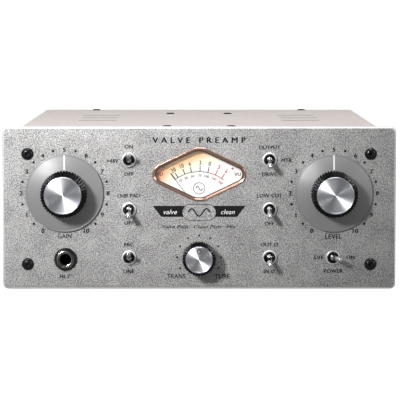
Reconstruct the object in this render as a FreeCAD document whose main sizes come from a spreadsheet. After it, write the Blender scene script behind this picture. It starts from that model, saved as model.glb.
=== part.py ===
"""A half-rack microphone preamp, built as its separate pieces.

Axes: x to the right, y from the front to the back, z up, in millimetres. The origin is on the table,
under the middle of the whole object. Depths are measured backwards from the front panel's face, and
the panel's own features are measured up from its lower edge.
"""
import FreeCAD, Part
import math
import os
import re

import Sketcher
from FreeCAD import Placement, Rotation, Vector

SIZES = {
    # Front panel
    "panel_width": 213.4,
    "panel_height": 88.1,
    "panel_thick": 4.8,
    "panel_corner": 3.0,
    "panel_edge": 1.3,
    "panel_foot": 0.5,
    "front_reach": 22.5,
    "rear_reach": 285.0,
    "screw_x": 92.9,
    "screw_low": 13.5,
    "screw_high": 73.4,
    # Case
    "case_width": 195.8,
    "case_depth": 282.0,
    "case_low": 3.0,
    "case_top": 87.4,
    "sheet": 1.5,
    "flange": 11.0,
    "vent_x": 59.0,
    "vent_length": 22.0,
    "vent_width": 5.0,
    "vent_depth": 112.0,
    "vent_pitch": 38.0,
    "foot_radius": 7.0,
    "foot_x": 78.0,
    "foot_front": 28.0,
    "foot_rear": 258.0,
    "kit_depth": 31.75,
    "kit_rise": 50.8,
    "kit_centre_depth": 36.0,
    "kit_centre_height": 45.0,
    "kit_hole": 2.1,
    # Dials and blend knob
    "dial_x": 72.9,
    "dial_height": 52.1,
    "skirt_radius": 21.0,
    "grip_radius": 12.6,
    "grip_nose": 11.9,
    "cap_radius": 10.0,
    "blend_height": 17.2,
    "blend_radius": 9.0,
    "blend_cap_radius": 7.25,
    "blend_reach": 17.5,
    "knob_gap": 0.8,
    "knob_hollow": 7.9,
    "shaft_radius": 3.175,
    "shaft_play": 0.05,
    "bush_radius": 4.7,
    "pot_radius": 12.0,
    "pot_depth": 13.0,
    "nut_reach": 2.4,
    # Toggle switches
    "column_x": 38.1,
    "row_high": 70.2,
    "row_middle": 43.2,
    "row_low": 17.2,
    "power_x": 72.6,
    "toggle_bush": 3.15,
    "toggle_bore": 2.45,
    "toggle_reach": 2.6,
    "toggle_pivot": 0.4,
    "lever_ball": 2.38,
    "lever_neck": 1.0,
    "lever_tip": 1.5,
    "lever_length": 15.0,
    "lever_tilt": 13.0,
    # Instrument jack
    "jack_x": 72.5,
    "jack_height": 16.2,
    "jack_bore": 3.25,
    "jack_bush": 4.7,
    "jack_nut_radius": 6.15,
    "jack_depth": 26.0,
    # Meter
    "meter_height": 62.3,
    "meter_half_width": 25.5,
    "meter_half_height": 14.7,
    "meter_side_radius": 6.0,
    "meter_top_radius": 10.7,
    "bezel_band": 1.9,
    "bezel_rise": 1.2,
    "meter_skin": 2.0,
    "meter_case_half": 30.0,
    "meter_case_up": 18.1,
    "meter_case_down": 27.1,
    "meter_case_depth": 22.0,
    "meter_wall": 1.5,
    "needle_drop": 20.5,
    "needle_length": 26.0,
    "needle_rest": 36.5,
    # Rear connectors
    "mic_x": 74.0,
    "line_in_x": 40.0,
    "line_out_x": 6.0,
    "socket_height": 50.0,
    "socket_radius": 12.0,
    "socket_flange": 2.0,
    "inlet_x": 68.0,
    "inlet_height": 46.0,
    "inlet_lip": 3.0,
    # Inside
    "board_level": 12.0,
    "board_thick": 1.6,
    "toroid_x": 52.0,
    "toroid_depth": 150.0,
    "toroid_radius": 36.0,
    "toroid_rise": 34.0,
    "valve_x": 66.0,
    "valve_depth": 120.0,
    "cover_screw_x": 17.7,
    "cover_screw_front": 29.0,
    "cover_screw_middle": 210.0,
    "cover_corner_x": 65.6,
    "cover_corner_depth": 272.0,
}

PANEL_PLACE = "-(rear_reach - front_reach) / 2"
ALONG = {
    "x": Rotation(Vector(0, 1, 0), 90),
    "y": Rotation(Vector(1, 0, 0), -90),
    "z": Rotation(),
}

doc = FreeCAD.newDocument("preamp")
sheet = doc.addObject("Spreadsheet::Sheet", "sizes")
for row, (alias, value) in enumerate(SIZES.items(), start=1):
    sheet.set(f"A{row}", alias)
    sheet.set(f"B{row}", str(value))
    sheet.setAlias(f"B{row}", alias)
doc.recompute()
pieces = []


# Helpers: formulas

def linked(formula):
    """A formula in the sheet's words, such as "panel_width / 2", as a document expression."""
    def name(word):
        return "sizes." + word[0] if word[0] in SIZES else word[0]
    return re.sub(r"[a-z][a-z_]+", name, str(formula))


def number(formula):
    """The value that a formula has now, in millimetres or degrees."""
    return float(sheet.evalExpression(linked(formula)))


def bind(item, formulas):
    """Tie properties to the sheet, as {property: formula}."""
    for name, formula in formulas.items():
        item.setExpression(name, linked(formula))


def stand(item, x=0, depth=0, height=0):
    """Put a piece at x, a depth behind the panel's face, and a height above the table."""
    bind(item, {
        "Placement.Base.x": x,
        "Placement.Base.y": f"{PANEL_PLACE} + {depth}",
        "Placement.Base.z": height,
    })
    return item


def keep(item, name):
    """Name a finished piece, so that it is written as a file of its own."""
    item.Label = name
    pieces.append(item)
    return item


# Helpers: blocks, rods and booleans

def block(name, low, high):
    """A block between two corners, each given as (x, depth, height)."""
    item = doc.addObject("Part::Box", name)
    for side, axis, start, stop in zip(("Length", "Width", "Height"), "xyz", low, high):
        bind(item, {side: f"({stop}) - ({start})", f"Placement.Base.{axis}": start})
    return item


def rod(name, radius, start, length, along="y"):
    """A cylinder of a given length from start, (x, depth, height), along an axis."""
    item = doc.addObject("Part::Cylinder", name)
    item.Placement.Rotation = ALONG[along]
    bind(item, {"Radius": radius, "Height": length})
    bind(item, {f"Placement.Base.{axis}": place for axis, place in zip("xyz", start)})
    return item


def joined(name, *parts):
    item = doc.addObject("Part::MultiFuse", name)
    item.Shapes = list(parts)
    return item


def group(name, *parts):
    """Separate solids held in one piece of the list, such as a set of screws."""
    item = doc.addObject("Part::Compound", name)
    item.Links = list(parts)
    return item


def cut(name, base, *tools):
    item = doc.addObject("Part::Cut", name)
    item.Base = base
    item.Tool = tools[0] if len(tools) == 1 else joined(name + "_cutters", *tools)
    return item


def copies(name, source, places):
    """The same piece at several places, (x, depth, height), as one group."""
    links = []
    for count, place in enumerate(places, start=1):
        link = doc.addObject("App::Link", f"{name}_{count}")
        link.LinkedObject = source
        bind(link, {f"Placement.Base.{axis}": where for axis, where in zip("xyz", place)})
        links.append(link)
    return group(name, *links)


# Helpers: sketches and bodies

def new_sketch(body, plane, name):
    sketch = body.newObject("Sketcher::SketchObject", name)
    origin_plane = next(item for item in body.Origin.OriginFeatures if item.Role == plane)
    sketch.AttachmentSupport = [(origin_plane, "")]
    sketch.MapMode = "FlatFace"
    return sketch


def pin_point(sketch, shape, corner, x, y):
    """Hold one point of a sketch at x and y; a point on an axis is held to the axis."""
    for kind, axis, formula in (("DistanceX", -2, x), ("DistanceY", -1, y)):
        value = number(formula)
        if value == 0:
            sketch.addConstraint(Sketcher.Constraint("PointOnObject", shape, corner, axis))
            continue
        index = sketch.addConstraint(Sketcher.Constraint(kind, -1, 1, shape, corner, value))
        bind(sketch, {f"Constraints[{index}]": formula})


def draw_outline(sketch, corners):
    """A closed straight-sided outline through corners given as (x, y) formulas."""
    first = sketch.GeometryCount
    places = [Vector(number(x), number(y), 0) for x, y in corners]
    following = places[1:] + places[:1]
    for start, stop in zip(places, following):
        sketch.addGeometry(Part.LineSegment(start, stop), False)
    for index, (x, y) in enumerate(corners):
        after = (index + 1) % len(corners)
        sketch.addConstraint(Sketcher.Constraint("Coincident", first + index, 2, first + after, 1))
        pin_point(sketch, first + index, 1, x, y)


def draw_box(sketch, low, high):
    """A rectangle between two corners."""
    draw_outline(sketch, [low, (high[0], low[1]), high, (low[0], high[1])])


def draw_circle(sketch, radius, x=0, y=0):
    centre = Vector(number(x), number(y), 0)
    shape = sketch.addGeometry(Part.Circle(centre, Vector(0, 0, 1), number(radius)), False)
    index = sketch.addConstraint(Sketcher.Constraint("Radius", shape, number(radius)))
    bind(sketch, {f"Constraints[{index}]": radius})
    pin_point(sketch, shape, 3, x, y)


def pad(body, sketch, length, backwards=True):
    feature = body.newObject("PartDesign::Pad", sketch.Name + "_pad")
    feature.Profile = sketch
    feature.Reversed = backwards
    bind(feature, {"Length": length})
    doc.recompute()
    return feature


def pocket(body, sketch, length, forwards=False):
    """Cut a sketch out of a body, and make sure that something was cut."""
    before = body.Shape.Volume
    feature = body.newObject("PartDesign::Pocket", sketch.Name + "_pocket")
    feature.Profile = sketch
    feature.Reversed = forwards
    bind(feature, {"Length": length})
    doc.recompute()
    if not body.Shape.Volume < before - 0.01:
        raise RuntimeError(f"{sketch.Name} cuts nothing")
    return feature


def round_edges(body, radius, wanted):
    """Fillet the edges of the body's last feature that a test picks."""
    last = body.Tip
    names = [f"Edge{count}" for count, edge in enumerate(last.Shape.Edges, start=1) if wanted(edge)]
    feature = body.newObject("PartDesign::Fillet", f"{body.Name}_round_{len(body.Group)}")
    feature.Base = (last, names)
    bind(feature, {"Radius": radius})
    doc.recompute()


def turned(name, profile, along="y"):
    """A lathe-turned body: corners (distance along its axis, radius) spun round the axis."""
    body = doc.addObject("PartDesign::Body", name)
    sketch = new_sketch(body, "YZ_Plane" if along == "y" else "XZ_Plane", name + "_profile")
    draw_outline(sketch, profile if along == "y" else [(radius, place) for place, radius in profile])
    spin = body.newObject("PartDesign::Revolution", name + "_spin")
    spin.Profile = sketch
    spin.ReferenceAxis = (sketch, ["H_Axis" if along == "y" else "V_Axis"])
    spin.Angle = 360
    return body


def draw_diamond(sketch, grow):
    """The meter's rounded diamond, larger all round by grow: four arcs joined by tangent lines."""
    side_centre = number("meter_half_width - meter_side_radius")
    top_centre = number("meter_half_height - meter_top_radius")
    side_radius = number(f"meter_side_radius + {grow}")
    top_radius = number(f"meter_top_radius + {grow}")
    lean = math.asin((top_radius - side_radius) / math.hypot(side_centre, top_centre))
    slope = lean + math.atan2(top_centre, side_centre)
    quarter = math.pi / 2
    sides = {"right": (1, 0), "top": (0, 1), "left": (-1, 0), "bottom": (0, -1)}
    arcs = {}
    for turn, (side, (across, up)) in enumerate(sides.items()):
        flat = across == 0
        centre = Vector(across * side_centre, up * top_centre, 0)
        radius, spread = (top_radius, slope) if flat else (side_radius, quarter - slope)
        circle = Part.Circle(centre, Vector(0, 0, 1), radius)
        middle = turn * quarter
        arc = sketch.addGeometry(Part.ArcOfCircle(circle, middle - spread, middle + spread), False)
        arcs[side] = arc
        index = sketch.addConstraint(Sketcher.Constraint("Radius", arc, radius))
        corner = "meter_top_radius" if flat else "meter_side_radius"
        bind(sketch, {f"Constraints[{index}]": f"{corner} + {grow}"})
        pin_point(sketch, arc, 3, f"{across} * (meter_half_width - meter_side_radius)",
                  f"{up} * (meter_half_height - meter_top_radius)")
    order = list(arcs.values())
    for arc, after in zip(order, order[1:] + order[:1]):
        start = sketch.Geometry[arc].EndPoint
        stop = sketch.Geometry[after].StartPoint
        line = sketch.addGeometry(Part.LineSegment(start, stop), False)
        sketch.addConstraint(Sketcher.Constraint("Tangent", arc, 2, line, 1))
        sketch.addConstraint(Sketcher.Constraint("Tangent", line, 2, after, 1))


# Front panel: thick plate with rounded corners and a rounded front edge, relieved behind the meter

TOGGLES = (
    ("phantom", "-column_x", "row_high", "up"),
    ("pad", "-column_x", "row_middle", "down"),
    ("input", "-column_x", "row_low", "up"),
    ("meter", "column_x", "row_high", "down"),
    ("low_cut", "column_x", "row_middle", "down"),
    ("polarity", "column_x", "row_low", "down"),
    ("power", "power_x", "row_low", "right"),
)
KNOBS = (
    ("gain", "-dial_x", "dial_height"),
    ("level", "dial_x", "dial_height"),
    ("blend", "0", "blend_height"),
)
PANEL_SCREWS = [(x, 0, z) for x in ("-screw_x", "screw_x") for z in ("screw_low", "screw_high")]


def front_panel():
    body = doc.addObject("PartDesign::Body", "front_panel")
    plate = new_sketch(body, "XZ_Plane", "panel_plate")
    draw_box(plate, ("-panel_width / 2", 0), ("panel_width / 2", "panel_height"))
    pad(body, plate, "panel_thick")
    round_edges(body, "panel_corner", lambda edge: abs(edge.tangentAt(edge.FirstParameter).y) > 0.9)
    round_edges(body, "panel_edge", lambda edge: max(abs(v.Y) for v in edge.Vertexes) < 0.01)

    holes = new_sketch(body, "XZ_Plane", "panel_holes")
    for name, x, z in KNOBS:
        draw_circle(holes, "bush_radius + 0.2", x, z)
    for name, x, z, side in TOGGLES:
        draw_circle(holes, "toggle_bush + 0.15", x, z)
    for x, depth, z in PANEL_SCREWS:
        draw_circle(holes, 1.9, x, z)
    draw_circle(holes, "jack_bush + 0.2", "-jack_x", "jack_height")
    pocket(body, holes, "panel_thick + 1")

    relief = new_sketch(body, "XZ_Plane", "panel_relief")
    bind(relief, {"AttachmentOffset.Base.z": "-meter_skin"})
    draw_box(relief, ("-meter_case_half - 0.2", "meter_height - meter_case_down - 0.2"),
             ("meter_case_half + 0.2", "meter_height + meter_case_up + 0.2"))
    pocket(body, relief, "panel_thick")

    window = new_sketch(body, "XZ_Plane", "panel_window")
    window.AttachmentOffset = Placement(Vector(0, number("meter_height"), 0), Rotation())
    bind(window, {"AttachmentOffset.Base.y": "meter_height"})
    draw_diamond(window, "-0.9")
    pocket(body, window, "panel_thick")
    keep(stand(body, height="panel_foot"), "front_panel")


def panel_screws():
    head = 3.35
    screw = turned("panel_screw", [
        (9, 0), (9, 1.7), (0, 1.7), (0, head), (-0.5, head), (-1.3, head * 0.8), (-1.8, head * 0.5),
        (-1.8, 0),
    ])
    socket = new_sketch(screw, "XZ_Plane", "screw_socket")
    bind(socket, {"AttachmentOffset.Base.z": 2})
    draw_outline(socket, [
        (1.15 * math.cos(math.radians(turn)), 1.15 * math.sin(math.radians(turn)))
        for turn in range(0, 360, 60)
    ])
    doc.recompute()
    pocket(screw, socket, 1.4)
    keep(stand(copies("panel_screws", screw, PANEL_SCREWS), height="panel_foot"), "panel_screws")


# Meter: case let into the panel's relief, dial, needle, lamps, window and bezel

def at_meter(item):
    return stand(item, height="panel_foot + meter_height")


def diamond_body(name, grow, front, back, hole=None):
    """A plate in the meter's diamond shape between two depths, with a diamond hole if asked."""
    body = doc.addObject("PartDesign::Body", name)
    outline = new_sketch(body, "XZ_Plane", name + "_outline")
    bind(outline, {"AttachmentOffset.Base.z": f"-({front})"})
    draw_diamond(outline, grow)
    pad(body, outline, f"({back}) - ({front})")
    if hole is not None:
        inside = new_sketch(body, "XZ_Plane", name + "_inside")
        bind(inside, {"AttachmentOffset.Base.z": f"-({front}) + 1"})
        draw_diamond(inside, hole)
        pocket(body, inside, f"({back}) - ({front}) + 2")
    return body


def meter():
    flange = diamond_body("bezel_flange", 0, "-bezel_rise", 0, "-bezel_band")
    sleeve = diamond_body("bezel_sleeve", -1, "-0.3", "meter_skin - 0.1", "-bezel_band")
    keep(at_meter(joined("meter_bezel", flange, sleeve)), "meter_bezel")
    keep(at_meter(diamond_body("meter_window", "-bezel_band - 0.05", "-0.5", 0.7)), "meter_window")

    shell = block("meter_shell", ("-meter_case_half", "meter_skin", "-meter_case_down"),
                  ("meter_case_half", "meter_case_depth", "meter_case_up"))
    inside = ("meter_case_half - meter_wall", "meter_case_down - meter_wall", "meter_case_up - meter_wall")
    hollow = block("meter_hollow", (f"-({inside[0]})", 0, f"-({inside[1]})"),
                   (inside[0], "meter_case_depth - meter_wall", inside[2]))
    movement = rod("meter_movement", 5, (0, 5.6, "-needle_drop"), "meter_case_depth - meter_wall - 5.6")
    bearing = rod("meter_bearing", 0.85, (0, 5, "-needle_drop"), 6)
    case = cut("meter_body", joined("meter_case_walls", cut("meter_box", shell, hollow), movement), bearing)
    keep(at_meter(case), "meter_case")

    plate = block("dial_plate", (f"-({inside[0]})", 4.2, f"-({inside[1]})"), (inside[0], 4.9, inside[2]))
    staff_hole = rod("dial_hole", 1.8, (0, 4, "-needle_drop"), 2)
    keep(at_meter(cut("meter_dial_plate", plate, staff_hole)), "meter_dial")

    pointer = block("needle_pointer", (-0.15, 2.9, 0), (0.15, 3.2, "needle_length"))
    tip = block("needle_tip", (-0.35, 2.9, "needle_length - 4.4"), (0.35, 3.2, "needle_length"))
    tail = block("needle_tail", (-0.6, 2.9, -3), (0.6, 3.2, 0))
    hub = rod("needle_hub", 1.2, (0, 2.6, 0), 1.3)
    staff = rod("needle_staff", 0.8, (0, 2.6, 0), 8)
    needle = joined("needle_parts", pointer, tip, tail, hub, staff)
    needle.Placement.Rotation = Rotation(Vector(0, 1, 0), -number("needle_rest"))
    stand(needle, height="panel_foot + meter_height - needle_drop")
    keep(needle, "meter_needle")

    lamp = group("meter_lamp", rod("lamp_tube", 0.75, (-3, 3.05, 14.6), 6, along="x"))
    lamps = copies("lamp_pair", lamp, [(-13, 0, 0), (13, 0, 0)])
    keep(at_meter(lamps), "meter_lamps")


# Dials and blend knob: the pot stays, its shaft turns with the knob

def shaft_and_pot(name, x, z, shaft_front, lugs_at=-17.5):
    pot = turned(name + "_pot_can", [
        (14.2, 0), (14.2, "shaft_radius + shaft_play"), (-4.5, "shaft_radius + shaft_play"),
        (-4.5, "bush_radius"), ("panel_thick", "bush_radius"), ("panel_thick", "pot_radius"),
        ("panel_thick + pot_depth", "pot_radius"), ("panel_thick + pot_depth", 0),
    ])
    lugs = [
        block(f"{name}_pot_lug_{count}", (place - 1.2, "panel_thick + 3", lugs_at),
              (place + 1.2, "panel_thick + 3.8", lugs_at + 6.5))
        for count, place in enumerate((-5, 0, 5), start=1)
    ]
    keep(stand(joined(name + "_pot_parts", pot, *lugs), x, 0, f"panel_foot + {z}"), name + "_pot")
    shaft = turned(name + "_shaft_body", [
        (14, 0), (14, "shaft_radius"), (shaft_front, "shaft_radius"), (shaft_front, 0),
    ])
    keep(stand(shaft, x, 0, f"panel_foot + {z}"), name + "_shaft")


def dial_knob(name, x, z):
    """Spun skirt, knurled grip with a hollow back over the pot nut, and a cap let into its nose."""
    skirt = turned(name + "_skirt_body", [
        ("-knob_gap", "knob_hollow"), ("-knob_gap", "skirt_radius - 0.4"), ("-knob_gap - 0.3", "skirt_radius"),
        ("-knob_gap - 1", "skirt_radius"), ("-knob_gap - 1.3", "skirt_radius - 0.4"),
        ("-knob_gap - 2.6", "grip_radius"), ("-knob_gap - 2.6", "knob_hollow"),
    ])
    grip = turned(name + "_grip_body", [
        ("-knob_gap - 2.6", "knob_hollow"), ("-knob_gap - 2.6", "grip_radius"),
        ("-front_reach + 2.2", "grip_nose"), ("-front_reach + 1.2", "grip_nose - 1"),
        ("-front_reach + 1.2", "cap_radius + 0.05"), ("-front_reach + 3.2", "cap_radius + 0.05"),
        ("-front_reach + 3.2", "shaft_radius + 0.02"), ("-6.5", "shaft_radius + 0.02"),
        ("-6.5", "knob_hollow"),
    ])
    cap = turned(name + "_cap_body", [
        ("-front_reach + 3.2", 0), ("-front_reach + 3.2", "cap_radius"), ("-front_reach + 0.4", "cap_radius"),
        ("-front_reach", "cap_radius - 0.4"), ("-front_reach", 0),
    ])
    for piece, kind in ((skirt, "skirt"), (grip, "grip"), (cap, "cap")):
        keep(stand(piece, x, 0, f"panel_foot + {z}"), f"{name}_{kind}")
    shaft_and_pot(name, x, z, "-front_reach + 4.5")


def blend_knob(name, x, z):
    grip = turned("blend_grip_body", [
        ("-knob_gap", "knob_hollow"), ("-knob_gap", "blend_radius"), ("-blend_reach + 1.8", "blend_radius - 0.3"),
        ("-blend_reach + 1", "blend_radius - 1.1"), ("-blend_reach + 1", "blend_cap_radius + 0.05"),
        ("-blend_reach + 3", "blend_cap_radius + 0.05"), ("-blend_reach + 3", "shaft_radius + 0.02"),
        ("-6.5", "shaft_radius + 0.02"), ("-6.5", "knob_hollow"),
    ])
    cap = turned("blend_cap_body", [
        ("-blend_reach + 3", 0), ("-blend_reach + 3", "blend_cap_radius"),
        ("-blend_reach + 0.3", "blend_cap_radius"), ("-blend_reach", "blend_cap_radius - 0.3"),
        ("-blend_reach", 0),
    ])
    for piece, kind in ((grip, "grip"), (cap, "cap")):
        keep(stand(piece, x, 0, f"panel_foot + {z}"), f"{name}_{kind}")
    shaft_and_pot(name, x, z, "-blend_reach + 4.3", lugs_at=11)


def hex_nut(name, corner_radius, bore, front, back):
    prism = doc.addObject("Part::Prism", name + "_hex")
    prism.Polygon = 6
    prism.Placement.Rotation = ALONG["y"]
    bind(prism, {"Circumradius": corner_radius, "Height": f"({back}) - ({front})", "Placement.Base.y": front})
    return cut(name, prism, rod(name + "_bore", bore, (0, f"({front}) - 1", 0), f"({back}) - ({front}) + 2"))


def pot_nuts():
    nut = hex_nut("pot_nut", 7.33, "bush_radius + 0.02", "-nut_reach", 0)
    places = [(x, 0, z) for name, x, z in KNOBS]
    keep(stand(copies("pot_nut_set", nut, places), height="panel_foot"), "pot_nuts")


# Toggle switches: threaded bush through the panel, body and lugs behind, chrome bat lever

def toggle_switch(name, x, z, side):
    housing = block(name + "_housing", (-6, "panel_thick + 1.6", -6.5), (6, "panel_thick + 11.6", 6.5))
    bush = rod(name + "_bush", "toggle_bush", (0, "-toggle_reach", 0), "toggle_reach + panel_thick + 2")
    lugs = [
        block(f"{name}_lug_{count}", (place - 0.4, "panel_thick + 11", -1), (place + 0.4, "panel_thick + 16", 1))
        for count, place in enumerate((-4, 0, 4), start=1)
    ]
    bore = rod(name + "_bore", "toggle_bore", (0, "-toggle_reach - 1", 0), "toggle_reach + 3.2")
    switch = cut(name + "_switch_body", joined(name + "_switch_parts", housing, bush, *lugs), bore)
    if side == "right":
        switch.Placement.Rotation = Rotation(Vector(0, 1, 0), 90)
    keep(stand(switch, x, 0, f"panel_foot + {z}"), name + "_switch")

    ball = doc.addObject("Part::Sphere", name + "_ball")
    bind(ball, {"Radius": "lever_ball"})
    bat = doc.addObject("Part::Cone", name + "_bat")
    bat.Placement.Rotation = Rotation(Vector(1, 0, 0), 90)
    bind(bat, {"Radius1": "lever_neck", "Radius2": "lever_tip", "Height": "lever_length - lever_tip"})
    tip = doc.addObject("Part::Sphere", name + "_tip")
    bind(tip, {"Radius": "lever_tip", "Placement.Base.y": "-(lever_length - lever_tip)"})
    lever = joined(name + "_lever_parts", ball, bat, tip)
    axis, sign = {"up": (Vector(1, 0, 0), -1), "down": (Vector(1, 0, 0), 1), "right": (Vector(0, 0, 1), 1)}[side]
    lever.Placement.Rotation = Rotation(axis, sign * number("lever_tilt"))
    keep(stand(lever, x, "-toggle_pivot", f"panel_foot + {z}"), name + "_lever")


def toggle_nuts():
    """Each toggle has a round dress nut in front of the panel and a hexagon nut behind it."""
    dress = turned("dress_nut", [
        (0, "toggle_bush + 0.02"), (0, 3.95), (-1.6, 3.95), (-2.1, 3.5), (-2.1, "toggle_bush + 0.02"),
    ])
    hexagon = hex_nut("rear_nut", 4.6, "toggle_bush + 0.02", "panel_thick", "panel_thick + 1.6")
    places = [(x, 0, z) for name, x, z, side in TOGGLES]
    nuts = group("toggle_nut_set", copies("dress_nuts", dress, places), copies("rear_nuts", hexagon, places))
    keep(stand(nuts, height="panel_foot"), "toggle_nuts")


# Instrument jack: 6.35 mm socket, low at the left

def instrument_jack():
    housing = block("jack_housing", (-8, "panel_thick", -9), (8, "panel_thick + jack_depth", 9))
    bush = rod("jack_bushing", "jack_bush", (0, -3, 0), "panel_thick + 4")
    lugs = [
        block(f"jack_lug_{count}", (place - 0.5, "panel_thick + jack_depth - 1", -1),
              (place + 0.5, "panel_thick + jack_depth + 5", 1))
        for count, place in enumerate((-4, 4), start=1)
    ]
    bore = rod("jack_hole", "jack_bore", (0, -4, 0), "panel_thick + jack_depth + 1")
    jack = cut("jack_body", joined("jack_parts", housing, bush, *lugs), bore)
    keep(stand(jack, "-jack_x", 0, "panel_foot + jack_height"), "jack_socket")
    nut = turned("jack_nut_body", [
        (0, "jack_bush + 0.02"), (0, "jack_nut_radius"), (-1.2, "jack_nut_radius"),
        (-1.6, "jack_nut_radius - 0.5"), (-2.4, "jack_nut_radius - 0.7"), (-2.8, "jack_nut_radius - 1.1"),
        (-2.8, "jack_bush + 0.02"),
    ])
    keep(stand(nut, "-jack_x", 0, "panel_foot + jack_height"), "jack_nut")


# Case: tray with flanges, rear panel, folded cover with vents, feet and screws

COVER_SCREWS = [
    (f"{side} * {x}", depth, "case_top")
    for side in (-1, 1)
    for x, depth in (("cover_screw_x", "cover_screw_front"), ("cover_screw_x", "cover_screw_middle"),
                     ("cover_corner_x", "cover_corner_depth"))
]
SIDE_HOLES = [
    (f"kit_centre_depth + {along} * kit_depth / 2", f"kit_centre_height + {up} * kit_rise / 2")
    for along in (-1, 1) for up in (-1, 1)
]


def chassis_tray():
    inner = "case_width / 2 - sheet"
    rear = "case_depth - sheet"
    floor = block("tray_floor", (f"-({inner})", "panel_thick", "case_low"), (inner, rear, "case_low + sheet"))
    walls = []
    for side, sign in (("left", -1), ("right", 1)):
        edges = sorted((f"{sign} * ({inner})", f"{sign} * ({inner} - sheet)"), key=number)
        walls.append(block(f"tray_{side}_lip", (edges[0], "panel_thick", "case_low"),
                           (edges[1], rear, "case_low + flange")))
        corners = sorted((f"{sign} * ({inner})", f"{sign} * ({inner} - flange)"), key=number)
        walls.append(block(f"tray_{side}_ear", (corners[0], "panel_thick", "case_low"),
                           (corners[1], "panel_thick + sheet", "case_top - sheet - 0.1")))
    holes = [
        rod(f"tray_screw_hole_{count}", 1.72, (x, "panel_thick - 1", f"panel_foot + {z}"), 6)
        for count, (x, depth, z) in enumerate(PANEL_SCREWS, start=1)
    ]
    keep(stand(cut("tray_body", joined("tray_folds", floor, *walls), *holes)), "chassis_tray")


def top_cover():
    body = doc.addObject("PartDesign::Body", "cover_body")
    fold = new_sketch(body, "XZ_Plane", "cover_fold")
    bind(fold, {"AttachmentOffset.Base.z": "-panel_thick - 0.1"})
    outer, inner = "case_width / 2", "case_width / 2 - sheet"
    draw_outline(fold, [
        (f"-{outer}", "case_low"), (f"-({inner})", "case_low"), (f"-({inner})", "case_top - sheet"),
        (inner, "case_top - sheet"), (inner, "case_low"), (outer, "case_low"), (outer, "case_top"),
        (f"-{outer}", "case_top"),
    ])
    pad(body, fold, "case_depth - panel_thick - 0.1")

    vents = new_sketch(body, "XY_Plane", "cover_vents")
    bind(vents, {"AttachmentOffset.Base.z": "case_top + 1"})
    for sign in (-1, 1):
        for count in range(3):
            middle = f"vent_depth + {count} * vent_pitch"
            draw_box(vents, (f"{sign} * vent_x - vent_length / 2", f"{middle} - vent_width / 2"),
                     (f"{sign} * vent_x + vent_length / 2", f"{middle} + vent_width / 2"))
    for x, depth, z in COVER_SCREWS:
        draw_circle(vents, 1.7, x, depth)
    pocket(body, vents, "sheet + 2")

    kit = new_sketch(body, "YZ_Plane", "cover_side_holes")
    bind(kit, {"AttachmentOffset.Base.z": "case_width / 2 + 1"})
    for depth, z in SIDE_HOLES:
        draw_circle(kit, "kit_hole", depth, z)
    pocket(body, kit, "case_width + 2")
    keep(stand(body), "top_cover")


def rear_panel():
    inner = "case_width / 2 - sheet - 0.1"
    plate = block("rear_plate", (f"-({inner})", "case_depth - sheet", "case_low"),
                  (inner, "case_depth", "case_top - sheet - 0.05"))
    lip = block("rear_lip", (-80, "case_depth - 16", "case_top - 2 * sheet - 0.05"),
                (80, "case_depth", "case_top - sheet - 0.05"))
    holes = [
        rod(f"rear_socket_hole_{count}", "socket_radius + 0.1", (x, "case_depth - 3", "socket_height"), 5)
        for count, x in enumerate(("mic_x", "line_in_x", "line_out_x"), start=1)
    ]
    for count, (x, z) in enumerate(connector_screw_places(), start=1):
        holes.append(rod(f"rear_screw_hole_{count}", 1.5, (x, "case_depth - 3", z), 5))
    for count, x in enumerate(("mic_x", "line_in_x"), start=1):
        holes.append(block(f"rear_latch_notch_{count}", (f"{x} - 3.6", "case_depth - 4", "socket_height + 8.8"),
                           (f"{x} + 3.6", "case_depth + 2", "socket_height + 13.6")))
    for sign in (-1, 1):
        holes.append(rod(f"rear_lip_hole_{sign + 2}", 1.3,
                         (f"{sign} * cover_corner_x", "cover_corner_depth", "case_top - 6"), 6, along="z"))
    holes.append(block("rear_inlet_hole", ("-inlet_x - 13.6", "case_depth - 3", "inlet_height - 23.6"),
                       ("-inlet_x + 13.6", "case_depth + 2", "inlet_height + 23.6")))
    keep(stand(cut("rear_body", joined("rear_folds", plate, lip), *holes)), "rear_panel")


def rubber_feet():
    foot = turned("rubber_foot", [
        (0, 0), (0, "foot_radius - 1"), ("case_low", "foot_radius"), ("case_low", 0),
    ], along="z")
    places = [(f"{sign} * foot_x", depth, 0) for sign in (-1, 1) for depth in ("foot_front", "foot_rear")]
    keep(stand(copies("foot_set", foot, places)), "rubber_feet")


def cover_screws():
    screw = turned("cover_screw", [
        (-7, 0), (-7, 1.25), (0, 1.25), (0, 2.8), (0.5, 2.8), (1, 2), (1, 0),
    ], along="z")
    keep(stand(copies("cover_screw_set", screw, COVER_SCREWS)), "cover_screws")


# Rear connectors: two female inputs with latch tabs, a male output, and the mains inlet

def connector_screw_places():
    return [
        (f"{x} + {sign} * 9.5", f"socket_height + {sign} * 12")
        for x in ("mic_x", "line_in_x", "line_out_x") for sign in (-1, 1)
    ]


def pin_places(radius):
    return [
        (radius * math.cos(math.radians(turn)), radius * math.sin(math.radians(turn)))
        for turn in (150, 30, 270)
    ]


def socket_shell(name):
    flange = block(name + "_flange", (-13, "case_depth", -15.5), (13, "case_depth + socket_flange", 15.5))
    barrel = rod(name + "_barrel", "socket_radius", (0, "case_depth - 24", 0), "24 + socket_flange")
    holes = [
        rod(f"{name}_fixing_{sign + 2}", 1.5, (sign * 9.5, "case_depth - 1", sign * 12), 5)
        for sign in (-1, 1)
    ]
    return cut(name + "_shell", joined(name + "_housing", flange, barrel), *holes)


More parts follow.
